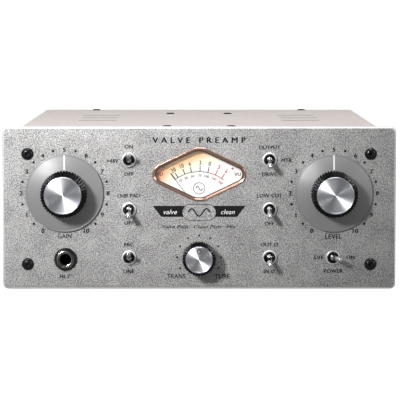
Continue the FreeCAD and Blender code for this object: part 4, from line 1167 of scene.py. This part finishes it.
rose_plating = plated_metal("rose_plated_bezel", (0.86, 0.56, 0.44), 0.2, 0.12)
bezel_profile = [(-0.02, 0), (-0.02, -0.5), (-0.2, -0.95), (-0.55, -1.17), (-0.85, -1.1), (-1.25, -0.8),
                 (-1.7, -0.48), (-1.88, -0.4), (-1.88, 1.85), (-1.02, 1.85), (-1.02, 0)]
bezel_mesh = diamond_ring("meter_pressed_bezel", bezel_profile)
bezel = smooth_piece("meter_pressed_bezel", bezel_mesh, math.radians(50))
fit(bezel, rose_plating, "case", "copper_trim", "meter_bezel")
# Painted shade, partly: a thin gasket ring between the bezel and the window, dark brown so that it also
# stands in for the shadow line along the window's edge. The studio's black card uses the same material.
gasket_painted_shadow_and_card = moulded("dark_brown_gasket_painted_shadow_and_card", (0.045, 0.012, 0.006), 0.5, 900, 0.2)
gasket_profile = [(-1.75, -0.45), (-1.75, -0.62), (-2.2, -0.62), (-2.2, -0.5)]
gasket = smooth_piece("meter_gasket_shadow_line", diamond_ring("meter_gasket_shadow_line", gasket_profile))
fit(gasket, gasket_painted_shadow_and_card, "case", "black_plastic")


def clear_finish(name, tint, cover, roughness, warmth=0.0):
    """Clear acrylic or glass: see-through, with a light haze where it has been wiped."""
    material = bpy.data.materials.new(name)
    material.use_nodes = True
    tree = material.node_tree
    tree.nodes.clear()
    place = tree.nodes.new("ShaderNodeTexCoord")
    place.label = "Place on the pane"
    haze_frame = tree.nodes.new("NodeFrame")
    haze_frame.label = "Wiped haze"
    haze = tree.nodes.new("ShaderNodeTexNoise")
    haze.label = "Haze"
    haze.inputs["Scale"].default_value = 160
    haze.inputs["Detail"].default_value = 3
    dull = tree.nodes.new("ShaderNodeMapRange")
    dull.label = "Gloss under the haze"
    dull.inputs["To Min"].default_value = roughness
    dull.inputs["To Max"].default_value = roughness + 0.08
    tone = tree.nodes.new("ShaderNodeValToRGB")
    tone.label = "Tint"
    tone.color_ramp.elements[0].color = (*[value * 0.92 for value in tint], 1)
    tone.color_ramp.elements[1].color = (*tint, 1)
    pane = tree.nodes.new("ShaderNodeBsdfPrincipled")
    pane.label = "Pane"
    pane.inputs["Alpha"].default_value = cover
    pane.inputs["Emission Color"].default_value = (1, 0.55, 0.2, 1)
    pane.inputs["Emission Strength"].default_value = warmth
    output = tree.nodes.new("ShaderNodeOutputMaterial")
    output.label = "Surface"
    for node in (haze, dull, tone):
        node.parent = haze_frame
    lay_out(((place,), (haze,), (dull, tone), (pane,), (output,)))
    tree.links.new(place.outputs["Object"], haze.inputs["Vector"])
    tree.links.new(haze.outputs["Fac"], dull.inputs["Value"])
    tree.links.new(haze.outputs["Fac"], tone.inputs["Fac"])
    tree.links.new(dull.outputs["Result"], pane.inputs["Roughness"])
    tree.links.new(tone.outputs["Color"], pane.inputs["Base Color"])
    tree.links.new(pane.outputs["BSDF"], output.inputs["Surface"])
    return material


acrylic = clear_finish("clear_acrylic_window", (0.95, 0.97, 0.98), 0.05, 0.03)
fit(merged_copy("meter_window", "meter_pane", rim=0.1 * mm), acrylic, "case", "clear_window",
    "meter_window")


def lit_card(name, corner, inward, brightness):
    """White card, lit from behind by the lamps: orange in one corner, warm along one edge, then white."""
    material = bpy.data.materials.new(name)
    material.use_nodes = True
    tree = material.node_tree
    tree.nodes.clear()
    place = tree.nodes.new("ShaderNodeTexCoord")
    place.label = "Place on the card"
    start = tree.nodes.new("ShaderNodeVectorMath")
    start.label = "From the lit corner"
    start.operation = "SUBTRACT"
    start.inputs[1].default_value = corner

    glow_frame = tree.nodes.new("NodeFrame")
    glow_frame.label = "Lamp light through the card"
    from_edge = tree.nodes.new("ShaderNodeVectorMath")
    from_edge.label = "Distance from the lit edge"
    from_edge.operation = "DOT_PRODUCT"
    from_edge.inputs[1].default_value = inward
    edge_share = tree.nodes.new("ShaderNodeMapRange")
    edge_share.label = "Fades over the card"
    edge_share.inputs["From Min"].default_value = 1.8 * mm
    edge_share.inputs["From Max"].default_value = 10.5 * mm
    edge_glow = tree.nodes.new("ShaderNodeValToRGB")
    edge_glow.label = "Glow along the edge"
    edge_glow.color_ramp.elements[0].color = (0.93, 0.60, 0.27, 1)
    edge_glow.color_ramp.elements[1].color = (1, 1, 0.99, 1)
    middle_glow = edge_glow.color_ramp.elements.new(0.35)
    middle_glow.color = (1, 0.90, 0.66, 1)
    from_corner = tree.nodes.new("ShaderNodeVectorMath")
    from_corner.label = "Distance from the corner"
    from_corner.operation = "LENGTH"
    corner_share = tree.nodes.new("ShaderNodeMapRange")
    corner_share.label = "Fades from the corner"
    corner_share.inputs["From Min"].default_value = 2.5 * mm
    corner_share.inputs["From Max"].default_value = 10 * mm
    corner_glow = tree.nodes.new("ShaderNodeValToRGB")
    corner_glow.label = "Glow in the corner"
    corner_glow.color_ramp.elements[0].color = (0.80, 0.30, 0.13, 1)
    corner_glow.color_ramp.elements[1].color = (1, 1, 1, 1)
    together = tree.nodes.new("ShaderNodeMix")
    together.label = "Both glows"
    together.data_type = "RGBA"
    together.blend_type = "MULTIPLY"
    together.inputs["Factor"].default_value = 1

    paper_frame = tree.nodes.new("NodeFrame")
    paper_frame.label = "Paper of the card"
    fibre = tree.nodes.new("ShaderNodeTexNoise")
    fibre.label = "Fibres"
    fibre.inputs["Scale"].default_value = 2400
    paper = tree.nodes.new("ShaderNodeBump")
    paper.label = "Paper relief"
    paper.inputs["Strength"].default_value = 0.15
    paper.inputs["Distance"].default_value = 0.02 * mm
    dull = tree.nodes.new("ShaderNodeMapRange")
    dull.label = "Paper gloss"
    dull.inputs["To Min"].default_value = 0.7
    dull.inputs["To Max"].default_value = 0.85
    card = tree.nodes.new("ShaderNodeBsdfPrincipled")
    card.label = "Card"
    card.inputs["Emission Strength"].default_value = brightness
    output = tree.nodes.new("ShaderNodeOutputMaterial")
    output.label = "Surface"
    for node in (from_edge, edge_share, edge_glow, from_corner, corner_share, corner_glow, together):
        node.parent = glow_frame
    for node in (fibre, paper, dull):
        node.parent = paper_frame
    lay_out(((place,), (start, fibre), (from_edge, from_corner, paper, dull), (edge_share, corner_share),
             (edge_glow, corner_glow), (together,), (card,), (output,)))
    tree.links.new(place.outputs["Object"], start.inputs[0])
    tree.links.new(start.outputs["Vector"], from_edge.inputs[0])
    tree.links.new(start.outputs["Vector"], from_corner.inputs[0])
    tree.links.new(from_edge.outputs["Value"], edge_share.inputs["Value"])
    tree.links.new(from_corner.outputs["Value"], corner_share.inputs["Value"])
    tree.links.new(edge_share.outputs["Result"], edge_glow.inputs["Fac"])
    tree.links.new(corner_share.outputs["Result"], corner_glow.inputs["Fac"])
    tree.links.new(edge_glow.outputs["Color"], together.inputs[6])
    tree.links.new(corner_glow.outputs["Color"], together.inputs[7])
    tree.links.new(place.outputs["Object"], fibre.inputs["Vector"])
    tree.links.new(fibre.outputs["Fac"], paper.inputs["Height"])
    tree.links.new(fibre.outputs["Fac"], dull.inputs["Value"])
    tree.links.new(together.outputs[2], card.inputs["Base Color"])
    tree.links.new(together.outputs[2], card.inputs["Emission Color"])
    tree.links.new(dull.outputs["Result"], card.inputs["Roughness"])
    tree.links.new(paper.outputs["Normal"], card.inputs["Normal"])
    tree.links.new(card.outputs["BSDF"], output.inputs["Surface"])
    return material


card_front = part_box("meter_dial")[0].y
lit_corner = (-(side_middle + side_round) * mm, card_front, foot + meter_up * mm)
across_the_edge = (0.427, 0, -0.904)
card_finish = lit_card("lit_meter_card", lit_corner, across_the_edge, 0.06)
fit(merged_copy("meter_dial", "meter_card"), card_finish, "case", "dial_card", "meter_dial")

pivot_up = 41.8
arc_radius, tick_radius = 21.7, 24.8
figure_radius, figure_tall = 26.6, 2.5
inner_radius, inner_tall = 19.6, 1.5
letters_tall = 1.9
tick_width = 0.55
red_ink = ink("red_ink", (0.42, 0.02, 0.02), 0.04)
brown_ink = ink("brown_ink", (0.10, 0.06, 0.05), 0.04)


def on_arc(angle, radius):
    turn = math.radians(angle)
    return radius * math.sin(turn), pivot_up + radius * math.cos(turn)


def dial_figure(words, angle, radius, cap, width):
    x, z = on_arc(angle, radius)
    return wording(words, x, z, cap, width=width, weight=0.05, turn=angle, plane=card_front)


def tick(angle):
    return stripe([on_arc(angle, arc_radius), on_arc(angle, tick_radius)], tick_width, card_front)


black_print = [stripe(round_points(0, pivot_up, arc_radius, -34.5, 12.6, 30), 0.45, card_front)]
red_print = [stripe(round_points(0, pivot_up, arc_radius, 12.7, 38, 18), 0.5, card_front)]
brown_print = []
for words, angle, width in (("20", -31.9, 2.6), ("10", -20.9, 2.2), ("6", -11.1, 1.2), ("3", 1.3, 1.2),
                            ("0", 12.6, 1.3)):
    black_print.append(dial_figure(words, angle, figure_radius, figure_tall, width))
    black_print.append(tick(angle))
for words, angle in (("3", 23.9), ("6", 34.1)):
    red_print.append(dial_figure(words, angle, figure_radius, figure_tall, 1.2))
    red_print.append(tick(angle))
for words, angle, width in (("10", -30.7, 1.8), ("30", -21.5, 1.9), ("50", -11, 1.9), ("70", 1.2, 1.9),
                            ("100", 12.2, 2.8)):
    brown_print.append(dial_figure(words, angle, inner_radius, inner_tall, width))
for words, angle in (("140", 24.4), ("200", 36.3)):
    red_print.append(dial_figure(words, angle, inner_radius, inner_tall, 2.8))
black_print.append(wording("VU", -21.4, meter_up, letters_tall, weight=0.045, plane=card_front))
black_print.append(wording("VU", 20.9, meter_up - 0.2, letters_tall, weight=0.045, plane=card_front))
brown_print.append(stripe([(-20.1, 65.7), (-18.7, 65.7)], 0.4, card_front))
red_print.append(stripe([(17.4, 65.2), (19.0, 65.2)], 0.35, card_front))
red_print.append(stripe([(18.2, 66.0), (18.2, 64.4)], 0.35, card_front))
sign_up, sign_radius, sign_steps = 54.4, 3.1, 24
sign_wave = [(-1.9 + 3.8 * step / sign_steps, sign_up + 1.1 * math.sin(2 * math.pi * step / sign_steps))
             for step in range(sign_steps + 1)]
black_print.append(stripe(sign_wave, 0.5, card_front))
black_print.append(stripe(round_points(0, sign_up, sign_radius, 0, 359.9, 40), 0.4, card_front))
for name, meshes, finish in (("meter_black_print", black_print, black_ink),
                             ("meter_red_print", red_print, red_ink),
                             ("meter_brown_print", brown_print, brown_ink)):
    fit(smooth_piece(name, one_mesh(name, meshes)), finish, "case", "dial_card")

needle_black = moulded("needle_enamel", (0.012, 0.012, 0.012), 0.4, 1800, 0.1)
fit(merged_copy("meter_needle", "meter_pointer"), needle_black, "needle", "needle_black", "meter_needle")
lamp_glass = clear_finish("warm_lamp_glass", (1, 0.8, 0.5), 0.6, 0.1, warmth=1.5)
fit(merged_copy("meter_lamps", "meter_bulbs"), lamp_glass, "case", "lamp_glass", "meter_lamps")
fit(merged_copy("meter_case", "meter_moulded_case", rim=0.4 * mm), black_nylon, "case", "black_plastic",
    "meter_case")


# Case. A folded steel tray and a folded cover, both in a fine light-grey powder coat, closed at the
# back by a plate that carries the connectors. The walls inside the cover's vents are painted darker
# than the coat, as painted shade.

case_paint = hammered_paint("case_powder_coat", light=(0.80, 0.735, 0.71), dark=(0.56, 0.51, 0.49),
                            grain=1300, relief=0.35, roughness=0.55, metal=0.05)
for node, name in (("chassis_tray", "folded_tray"), ("top_cover", "folded_cover"),
                   ("rear_panel", "rear_plate")):
    fit(merged_copy(node, name), case_paint, "case", "case_paint", node)
cover_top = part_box("top_cover")[1].z
# Painted shade: the walls of the vent slots get a darker colour than the coat, standing in for the shade
# inside the slots.
vent_wall_painted_shade = moulded("vent_walls_painted_shade", (0.16, 0.14, 0.135), 0.6, 900, 0.2)
vents_in, vents_out, vents_front, vents_back = 46, 72, 100, 200
second_finish(bpy.data.objects["folded_cover"], vent_wall_painted_shade, lambda place: (
    vents_in * mm < abs(place.x) < vents_out * mm
    and vents_front * mm < place.y - face < vents_back * mm
    and cover_top - 3 * mm < place.z < cover_top - 0.1 * mm))


# Screws of the cover. Six low black-oxide heads with hexagon sockets: four near the middle, in two
# pairs, and two at the back corners.

def standing(mesh):
    """A turned mesh that faces forwards, stood up to face the sky, from the origin."""
    mesh.transform(Matrix.Translation((0, -face, 0)))
    mesh.transform(Matrix.Rotation(math.radians(-90), 4, "X"))
    return mesh


screw_profile = [(6.9, 0), (6.9, 1.2), (0.02, 1.2), (0.02, 2.6), (-0.2, 2.65), (-0.45, 2.4), (-0.62, 2.0),
                 (-0.7, 1.6), (-0.68, 1.35, 6), (-0.15, 1.3, 6), (-0.1, 0)]
middle_out, middle_front, middle_back = 17.7, 29, 210
corner_out, corner_back = 65.6, 272
middle_screws = in_grid("middle_cover_screws", standing(turned(screw_profile, origin, 36)), 2, 4,
                        (-middle_out * mm, face + middle_front * mm, cover_top), (2 * middle_out * mm, 0, 0),
                        (0, (middle_back - middle_front) * mm, 0), black_oxide)
corner_screws = in_grid("corner_cover_screws", standing(turned(screw_profile, origin, 36)), 2, 2,
                        (-corner_out * mm, face + corner_back * mm, cover_top),
                        (2 * corner_out * mm, 0, 0), (0, 0, 0), black_oxide)
cover_screws = one_mesh("cover_socket_screws", [middle_screws, corner_screws])
fit(smooth_piece("cover_socket_screws", cover_screws), black_oxide, "case", "black_oxide", "cover_screws")


# Rear connectors. Two female sockets with press-down latch tabs and one male socket, cast shells with
# black inserts, each held by two screws and named in print on the plate.

cast_shell = plated_metal("black_plated_casting", (0.035, 0.035, 0.037), 0.35, 0.3, metal=0.6)
stamped_steel = plated_metal("stamped_latch_steel", (0.62, 0.62, 0.63), 0.25, 0.15)
pin_gold = plated_metal("plated_contact_pins", (0.80, 0.62, 0.30), 0.2, 0.15)
rear_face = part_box("rear_panel")[1].y
socket_up, socket_step, output_x = 50, 34, 6
insert_radius, pin_circle, pin_reach = 7.75, 5.2, 1.25


def near_axis(middle, radius):
    return lambda place: math.hypot(place.x - middle.x, place.z - middle.z) < radius * mm


for name in ("mic", "line"):
    flange = axis_of(f"{name}_input")
    insert_middle = Vector((flange.x, 0, foot + socket_up * mm))
    socket = merged_copy(f"{name}_input", f"{name}_female_socket", rim=0.12 * mm)
    fit(socket, cast_shell, "case", "socket_zinc", f"{name}_input")
    second_finish(socket, black_nylon, near_axis(insert_middle, insert_radius))
    tab = merged_copy(f"{name}_latch", f"{name}_latch_tab", rim=0.4 * mm)
    fit(tab, stamped_steel, f"{name}_latch", "latch_steel", f"{name}_latch")
out_middle = axis_of("line_output")
output_socket = merged_copy("line_output", "line_male_socket", rim=0.12 * mm)
fit(output_socket, cast_shell, "case", "socket_zinc", "line_output")
pin_middles = [Vector((out_middle.x + pin_circle * mm * math.cos(math.radians(turn)), 0,
                       foot + (socket_up + pin_circle * math.sin(math.radians(turn))) * mm))
               for turn in (150, 30, 270)]
second_finish(output_socket, pin_gold,
              lambda place: any(near_axis(pin, pin_reach)(place) for pin in pin_middles))

rear_screw_profile = [(4.1, 0), (4.1, 1.3), (-1.98, 1.3), (-1.98, 2.6), (-2.2, 2.68), (-2.6, 2.45),
                      (-2.85, 1.9), (-2.95, 1.3), (-2.93, 1.1, 6), (-2.1, 1.05, 6), (-2.15, 0)]
fixing_out, fixing_rise = 9.5, 12
fixings = []
for side, name in ((-1, "lower_rear_screws"), (1, "upper_rear_screws")):
    rear_screw = turned(rear_screw_profile, origin, 36)
    rear_screw.transform(Matrix.Translation((0, -face, 0)))
    rear_screw.transform(Matrix.Rotation(math.pi, 4, "Z"))
    corner = ((output_x + side * fixing_out) * mm, rear_face, foot + (socket_up + side * fixing_rise) * mm)
    fixings.append(in_grid(name, rear_screw, 3, 3, corner, (socket_step * mm, 0, 0), (0, 0, 0), black_oxide))
fit(smooth_piece("socket_fixing_screws", one_mesh("socket_fixing_screws", fixings)), black_oxide, "case",
    "black_oxide", "connector_screws")


# Mains inlet. A three-blade inlet moulded in black nylon with a fuse drawer under it.

inlet = merged_copy("mains_inlet", "mains_inlet_moulding", rim=0.3 * mm)
fit(inlet, black_nylon, "case", "black_plastic", "mains_inlet")
inlet_up = 46
inlet_x = axis_of("mains_inlet").x
blade_places = [(inlet_x + x * mm, foot + (inlet_up + z) * mm) for x, z in ((-7, 9.1), (0, 13.1), (7, 9.1))]
second_finish(inlet, stamped_steel, lambda place: any(
    abs(place.x - x) < 1.15 * mm and abs(place.z - z) < 2.15 * mm for x, z in blade_places))
drawer = merged_copy("fuse_drawer", "fuse_drawer_moulding", rim=0.3 * mm)
fit(drawer, black_nylon, "fuse_drawer", "black_plastic", "fuse_drawer")

rear_cap = 2.3
rear_print = []
for words, x, z in (("MIC IN", 74, 30.2), ("LINE IN", 40, 30.2), ("LINE OUT", 6, 30.2),
                    ("MAINS", -68, 75.5)):
    mesh = wording(words, -x, z, rear_cap, weight=0.012, plane=-rear_face)
    mesh.transform(Matrix.Rotation(math.pi, 4, "Z"))
    rear_print.append(mesh)
fit(smooth_piece("rear_lettering", one_mesh("rear_lettering", rear_print)), black_ink, "case", "case_paint")


# Feet. Four moulded rubber discs stuck under the tray.

rubber = moulded("foot_rubber", (0.03, 0.03, 0.031), 0.7, 700, 0.4)
fit(merged_copy("rubber_feet", "moulded_feet", rim=0.3 * mm), rubber, "case", "foot_rubber", "rubber_feet")


# Controls behind the panel. Rotary pots in plated cans on brass bushes, their shafts, and the hexagon
# nuts that the skirts hide.

zinc_plate = plated_metal("zinc_plated_steel", (0.56, 0.56, 0.54), 0.3, 0.2)
for name in ("gain", "level", "blend"):
    can = merged_copy(f"{name}_pot", f"{name}_pot_can", rim=0.2 * mm)
    fit(can, zinc_plate, "case", "pot_steel", f"{name}_pot")
    shaft = merged_copy(f"{name}_shaft", f"{name}_turned_shaft", rim=0.15 * mm)
    fit(shaft, zinc_plate, f"{name}_knob", "pot_steel", f"{name}_shaft")
fit(merged_copy("pot_nuts", "pot_hexagon_nuts", rim=0.2 * mm), zinc_plate, "case", "pot_steel", "pot_nuts")


# Inside. A ring-core mains transformer on its bolt; a circuit board on pillars with rows of parts,
# six capacitors and a small valve in its ceramic socket.

core_wrap = moulded("transformer_tape", (0.62, 0.47, 0.06), 0.35, 300, 0.5, coat=0.3)
fit(merged_copy("power_transformer", "wound_transformer", rim=0.3 * mm), core_wrap, "case",
    "transformer_wrap", "power_transformer")
fit(merged_copy("transformer_bolt", "transformer_clamp_bolt", rim=0.2 * mm), zinc_plate, "case",
    "pot_steel", "transformer_bolt")
fit(merged_copy("standoffs", "turned_standoffs", rim=0.2 * mm), zinc_plate, "case", "pot_steel", "standoffs")


def laminate(name, mask, track):
    """Circuit board: green lacquer over copper tracks that show as paler lines."""
    material = bpy.data.materials.new(name)
    material.use_nodes = True
    tree = material.node_tree
    tree.nodes.clear()
    place = tree.nodes.new("ShaderNodeTexCoord")
    place.label = "Place on the board"
    track_frame = tree.nodes.new("NodeFrame")
    track_frame.label = "Tracks under the lacquer"
    runs = tree.nodes.new("ShaderNodeTexBrick")
    runs.label = "Track runs"
    runs.inputs["Scale"].default_value = 60
    runs.inputs["Mortar Size"].default_value = 0.03
    runs.inputs["Color1"].default_value = (*mask, 1)
    runs.inputs["Color2"].default_value = (*[value * 0.85 for value in mask], 1)
    runs.inputs["Mortar"].default_value = (*track, 1)
    lift = tree.nodes.new("ShaderNodeBump")
    lift.label = "Lift over the tracks"
    lift.inputs["Strength"].default_value = 0.3
    lift.inputs["Distance"].default_value = 0.05 * mm
    weave_frame = tree.nodes.new("NodeFrame")
    weave_frame.label = "Glass weave"
    weave = tree.nodes.new("ShaderNodeTexNoise")
    weave.label = "Weave"
    weave.inputs["Scale"].default_value = 900
    gloss = tree.nodes.new("ShaderNodeMapRange")
    gloss.label = "Lacquer gloss"
    gloss.inputs["To Min"].default_value = 0.25
    gloss.inputs["To Max"].default_value = 0.4
    board = tree.nodes.new("ShaderNodeBsdfPrincipled")
    board.label = "Lacquered board"
    output = tree.nodes.new("ShaderNodeOutputMaterial")
    output.label = "Surface"
    for node in (runs, lift):
        node.parent = track_frame
    for node in (weave, gloss):
        node.parent = weave_frame
    lay_out(((place,), (runs, weave), (lift, gloss), (board,), (output,)))
    tree.links.new(place.outputs["Object"], runs.inputs["Vector"])
    tree.links.new(place.outputs["Object"], weave.inputs["Vector"])
    tree.links.new(runs.outputs["Fac"], lift.inputs["Height"])
    tree.links.new(weave.outputs["Fac"], gloss.inputs["Value"])
    tree.links.new(runs.outputs["Color"], board.inputs["Base Color"])
    tree.links.new(gloss.outputs["Result"], board.inputs["Roughness"])
    tree.links.new(lift.outputs["Normal"], board.inputs["Normal"])
    tree.links.new(board.outputs["BSDF"], output.inputs["Surface"])
    return material


green_board = laminate("green_circuit_board", (0.02, 0.13, 0.05), (0.08, 0.26, 0.12))
fit(merged_copy("main_board", "circuit_board"), green_board, "case", "board_laminate", "main_board")
resistor_body = moulded("resistor_lacquer", (0.52, 0.40, 0.24), 0.4, 900, 0.2)
board_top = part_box("main_board")[1].z
resistor_profile = [(-3, 0), (-3, 0.7), (-2.7, 1.1), (-1.8, 1.2), (-1.4, 0.95), (1.4, 0.95), (1.8, 1.2),
                    (2.7, 1.1), (3, 0.7), (3, 0)]
resistor = turned(resistor_profile, origin, 16)
resistors = in_grid("board_resistors", resistor, 4, 24, (4 * mm, 64 * mm, board_top + 1.2 * mm),
                    (9 * mm, 0, 0), (0, 13 * mm, 0), resistor_body)
fit(smooth_piece("board_resistors", resistors), resistor_body, "case", "board_laminate")
sleeve = moulded("capacitor_sleeve", (0.03, 0.045, 0.11), 0.28, 500, 0.15, coat=0.4)
fit(merged_copy("capacitors", "sleeved_capacitors", rim=0.4 * mm), sleeve, "case", "capacitor_sleeve",
    "capacitors")
ceramic = moulded("unglazed_ceramic", (0.78, 0.74, 0.66), 0.6, 800, 0.3)
fit(merged_copy("valve_socket", "ceramic_valve_socket", rim=0.4 * mm), ceramic, "case", "valve_ceramic",
    "valve_socket")

blown_glass = clear_finish("blown_valve_glass", (0.9, 0.93, 0.95), 0.18, 0.04)
fit(merged_copy("preamp_valve", "valve_envelope"), blown_glass, "case", "valve_glass", "preamp_valve")
anode_grey = plated_metal("carbonised_anode", (0.07, 0.07, 0.075), 0.5, 0.2, metal=0.7)
anode_low, anode_high, plate_thick, plate_radius, anode_radius = 13.2, 44, 0.8, 8.2, 5.2
anode_profile = [(-anode_high, 0), (-anode_high, plate_radius), (plate_thick - anode_high, plate_radius),
                 (plate_thick - anode_high, anode_radius), (-anode_low - plate_thick, anode_radius),
                 (-anode_low - plate_thick, plate_radius), (-anode_low, plate_radius), (-anode_low, 0)]
anode = standing(turned(anode_profile, origin, 48))
valve_middle = axis_of("preamp_valve")
anode.transform(Matrix.Translation((valve_middle.x, valve_middle.y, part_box("preamp_valve")[0].z)))
fit(smooth_piece("valve_anode", anode), anode_grey, "case", "valve_glass")


# Studio: a pale floor that runs back out of sight, soft lights, a black card behind the camera that
# the metal reflects, and the camera.

floor_mesh = bpy.data.meshes.new("studio_floor")
floor_mesh.from_pydata([(-9, -5, 0), (9, -5, 0), (9, 12, 0), (-9, 12, 0), (-9, 16, 4), (9, 16, 4)], [],
                       [(0, 1, 2, 3), (3, 2, 5, 4)])
floor = bpy.data.objects.new("studio_floor", floor_mesh)
bpy.context.scene.collection.objects.link(floor)
floor_paint = bpy.data.materials.new("studio_floor")
floor_paint.use_nodes = True
floor_shader = floor_paint.node_tree.nodes["Principled BSDF"]
floor_shader.inputs["Base Color"].default_value = (0.9, 0.9, 0.9, 1)
floor_shader.inputs["Roughness"].default_value = 0.9
floor_shader.inputs["Emission Color"].default_value = (1, 1, 1, 1)
floor_shader.inputs["Emission Strength"].default_value = 0.9
floor_mesh.materials.append(floor_paint)
floor.visible_diffuse = False
floor.visible_glossy = False

world = bpy.data.worlds.new("studio")
bpy.context.scene.world = world
world.use_nodes = True
world.node_tree.nodes["Background"].inputs["Color"].default_value = (1, 1, 1, 1)
world.node_tree.nodes["Background"].inputs["Strength"].default_value = 0.24


def hang(lamp, place, aim):
    """Hang a lamp at a place, aimed at another, out of the camera's sight."""
    holder = bpy.data.objects.new(lamp.name, lamp)
    holder.location = place
    holder.rotation_euler = (Vector(aim) - Vector(place)).to_track_quat("-Z", "Y").to_euler()
    bpy.context.scene.collection.objects.link(holder)
    holder.visible_camera = False


def softbox(name, place, size, watts):
    lamp = bpy.data.lights.new(name, "AREA")
    lamp.shape = "DISK"
    lamp.size = size
    lamp.energy = watts
    hang(lamp, place, (0, face, 0.045))


softbox("left_light", (-0.36, face - 0.30, 0.46), 0.3, 0.6)
softbox("right_light", (1.0, face - 0.8, 0.45), 0.4, 2.2)
softbox("top_light", (0, face - 0.15, 1.2), 0.8, 9)

key_lamp = bpy.data.lights.new("key_light", "SPOT")
key_lamp.energy = 60
key_lamp.shadow_soft_size = 0.08
key_lamp.spot_size = math.radians(24)
key_lamp.spot_blend = 1
hang(key_lamp, (-0.42, face - 1.05, 0.42), (-0.07, face, 0.14))

card_mesh = bpy.data.meshes.new("black_card")
card_y, card_half, card_low, card_high = -2.4, 1.2, -0.2, 1.4
card_mesh.from_pydata([(-card_half, card_y, card_low), (card_half, card_y, card_low),
                       (card_half, card_y, card_high), (-card_half, card_y, card_high)], [], [(0, 1, 2, 3)])
black_card = bpy.data.objects.new("black_card", card_mesh)
bpy.context.scene.collection.objects.link(black_card)
card_mesh.materials.append(gasket_painted_shadow_and_card)
black_card.visible_camera = False

camera_data = bpy.data.cameras.new("camera")
camera_data.sensor_width = 36
camera_data.lens = 240.8
camera_data.clip_end = 60
camera = bpy.data.objects.new("camera", camera_data)
camera.location = (-0.0008, face - 1.446, foot + 0.151)
camera.rotation_euler = (math.radians(90 - 4.06), 0, math.radians(-0.05))
bpy.context.scene.collection.objects.link(camera)
bpy.context.scene.camera = camera
bpy.context.scene.view_settings.view_transform = "Standard"
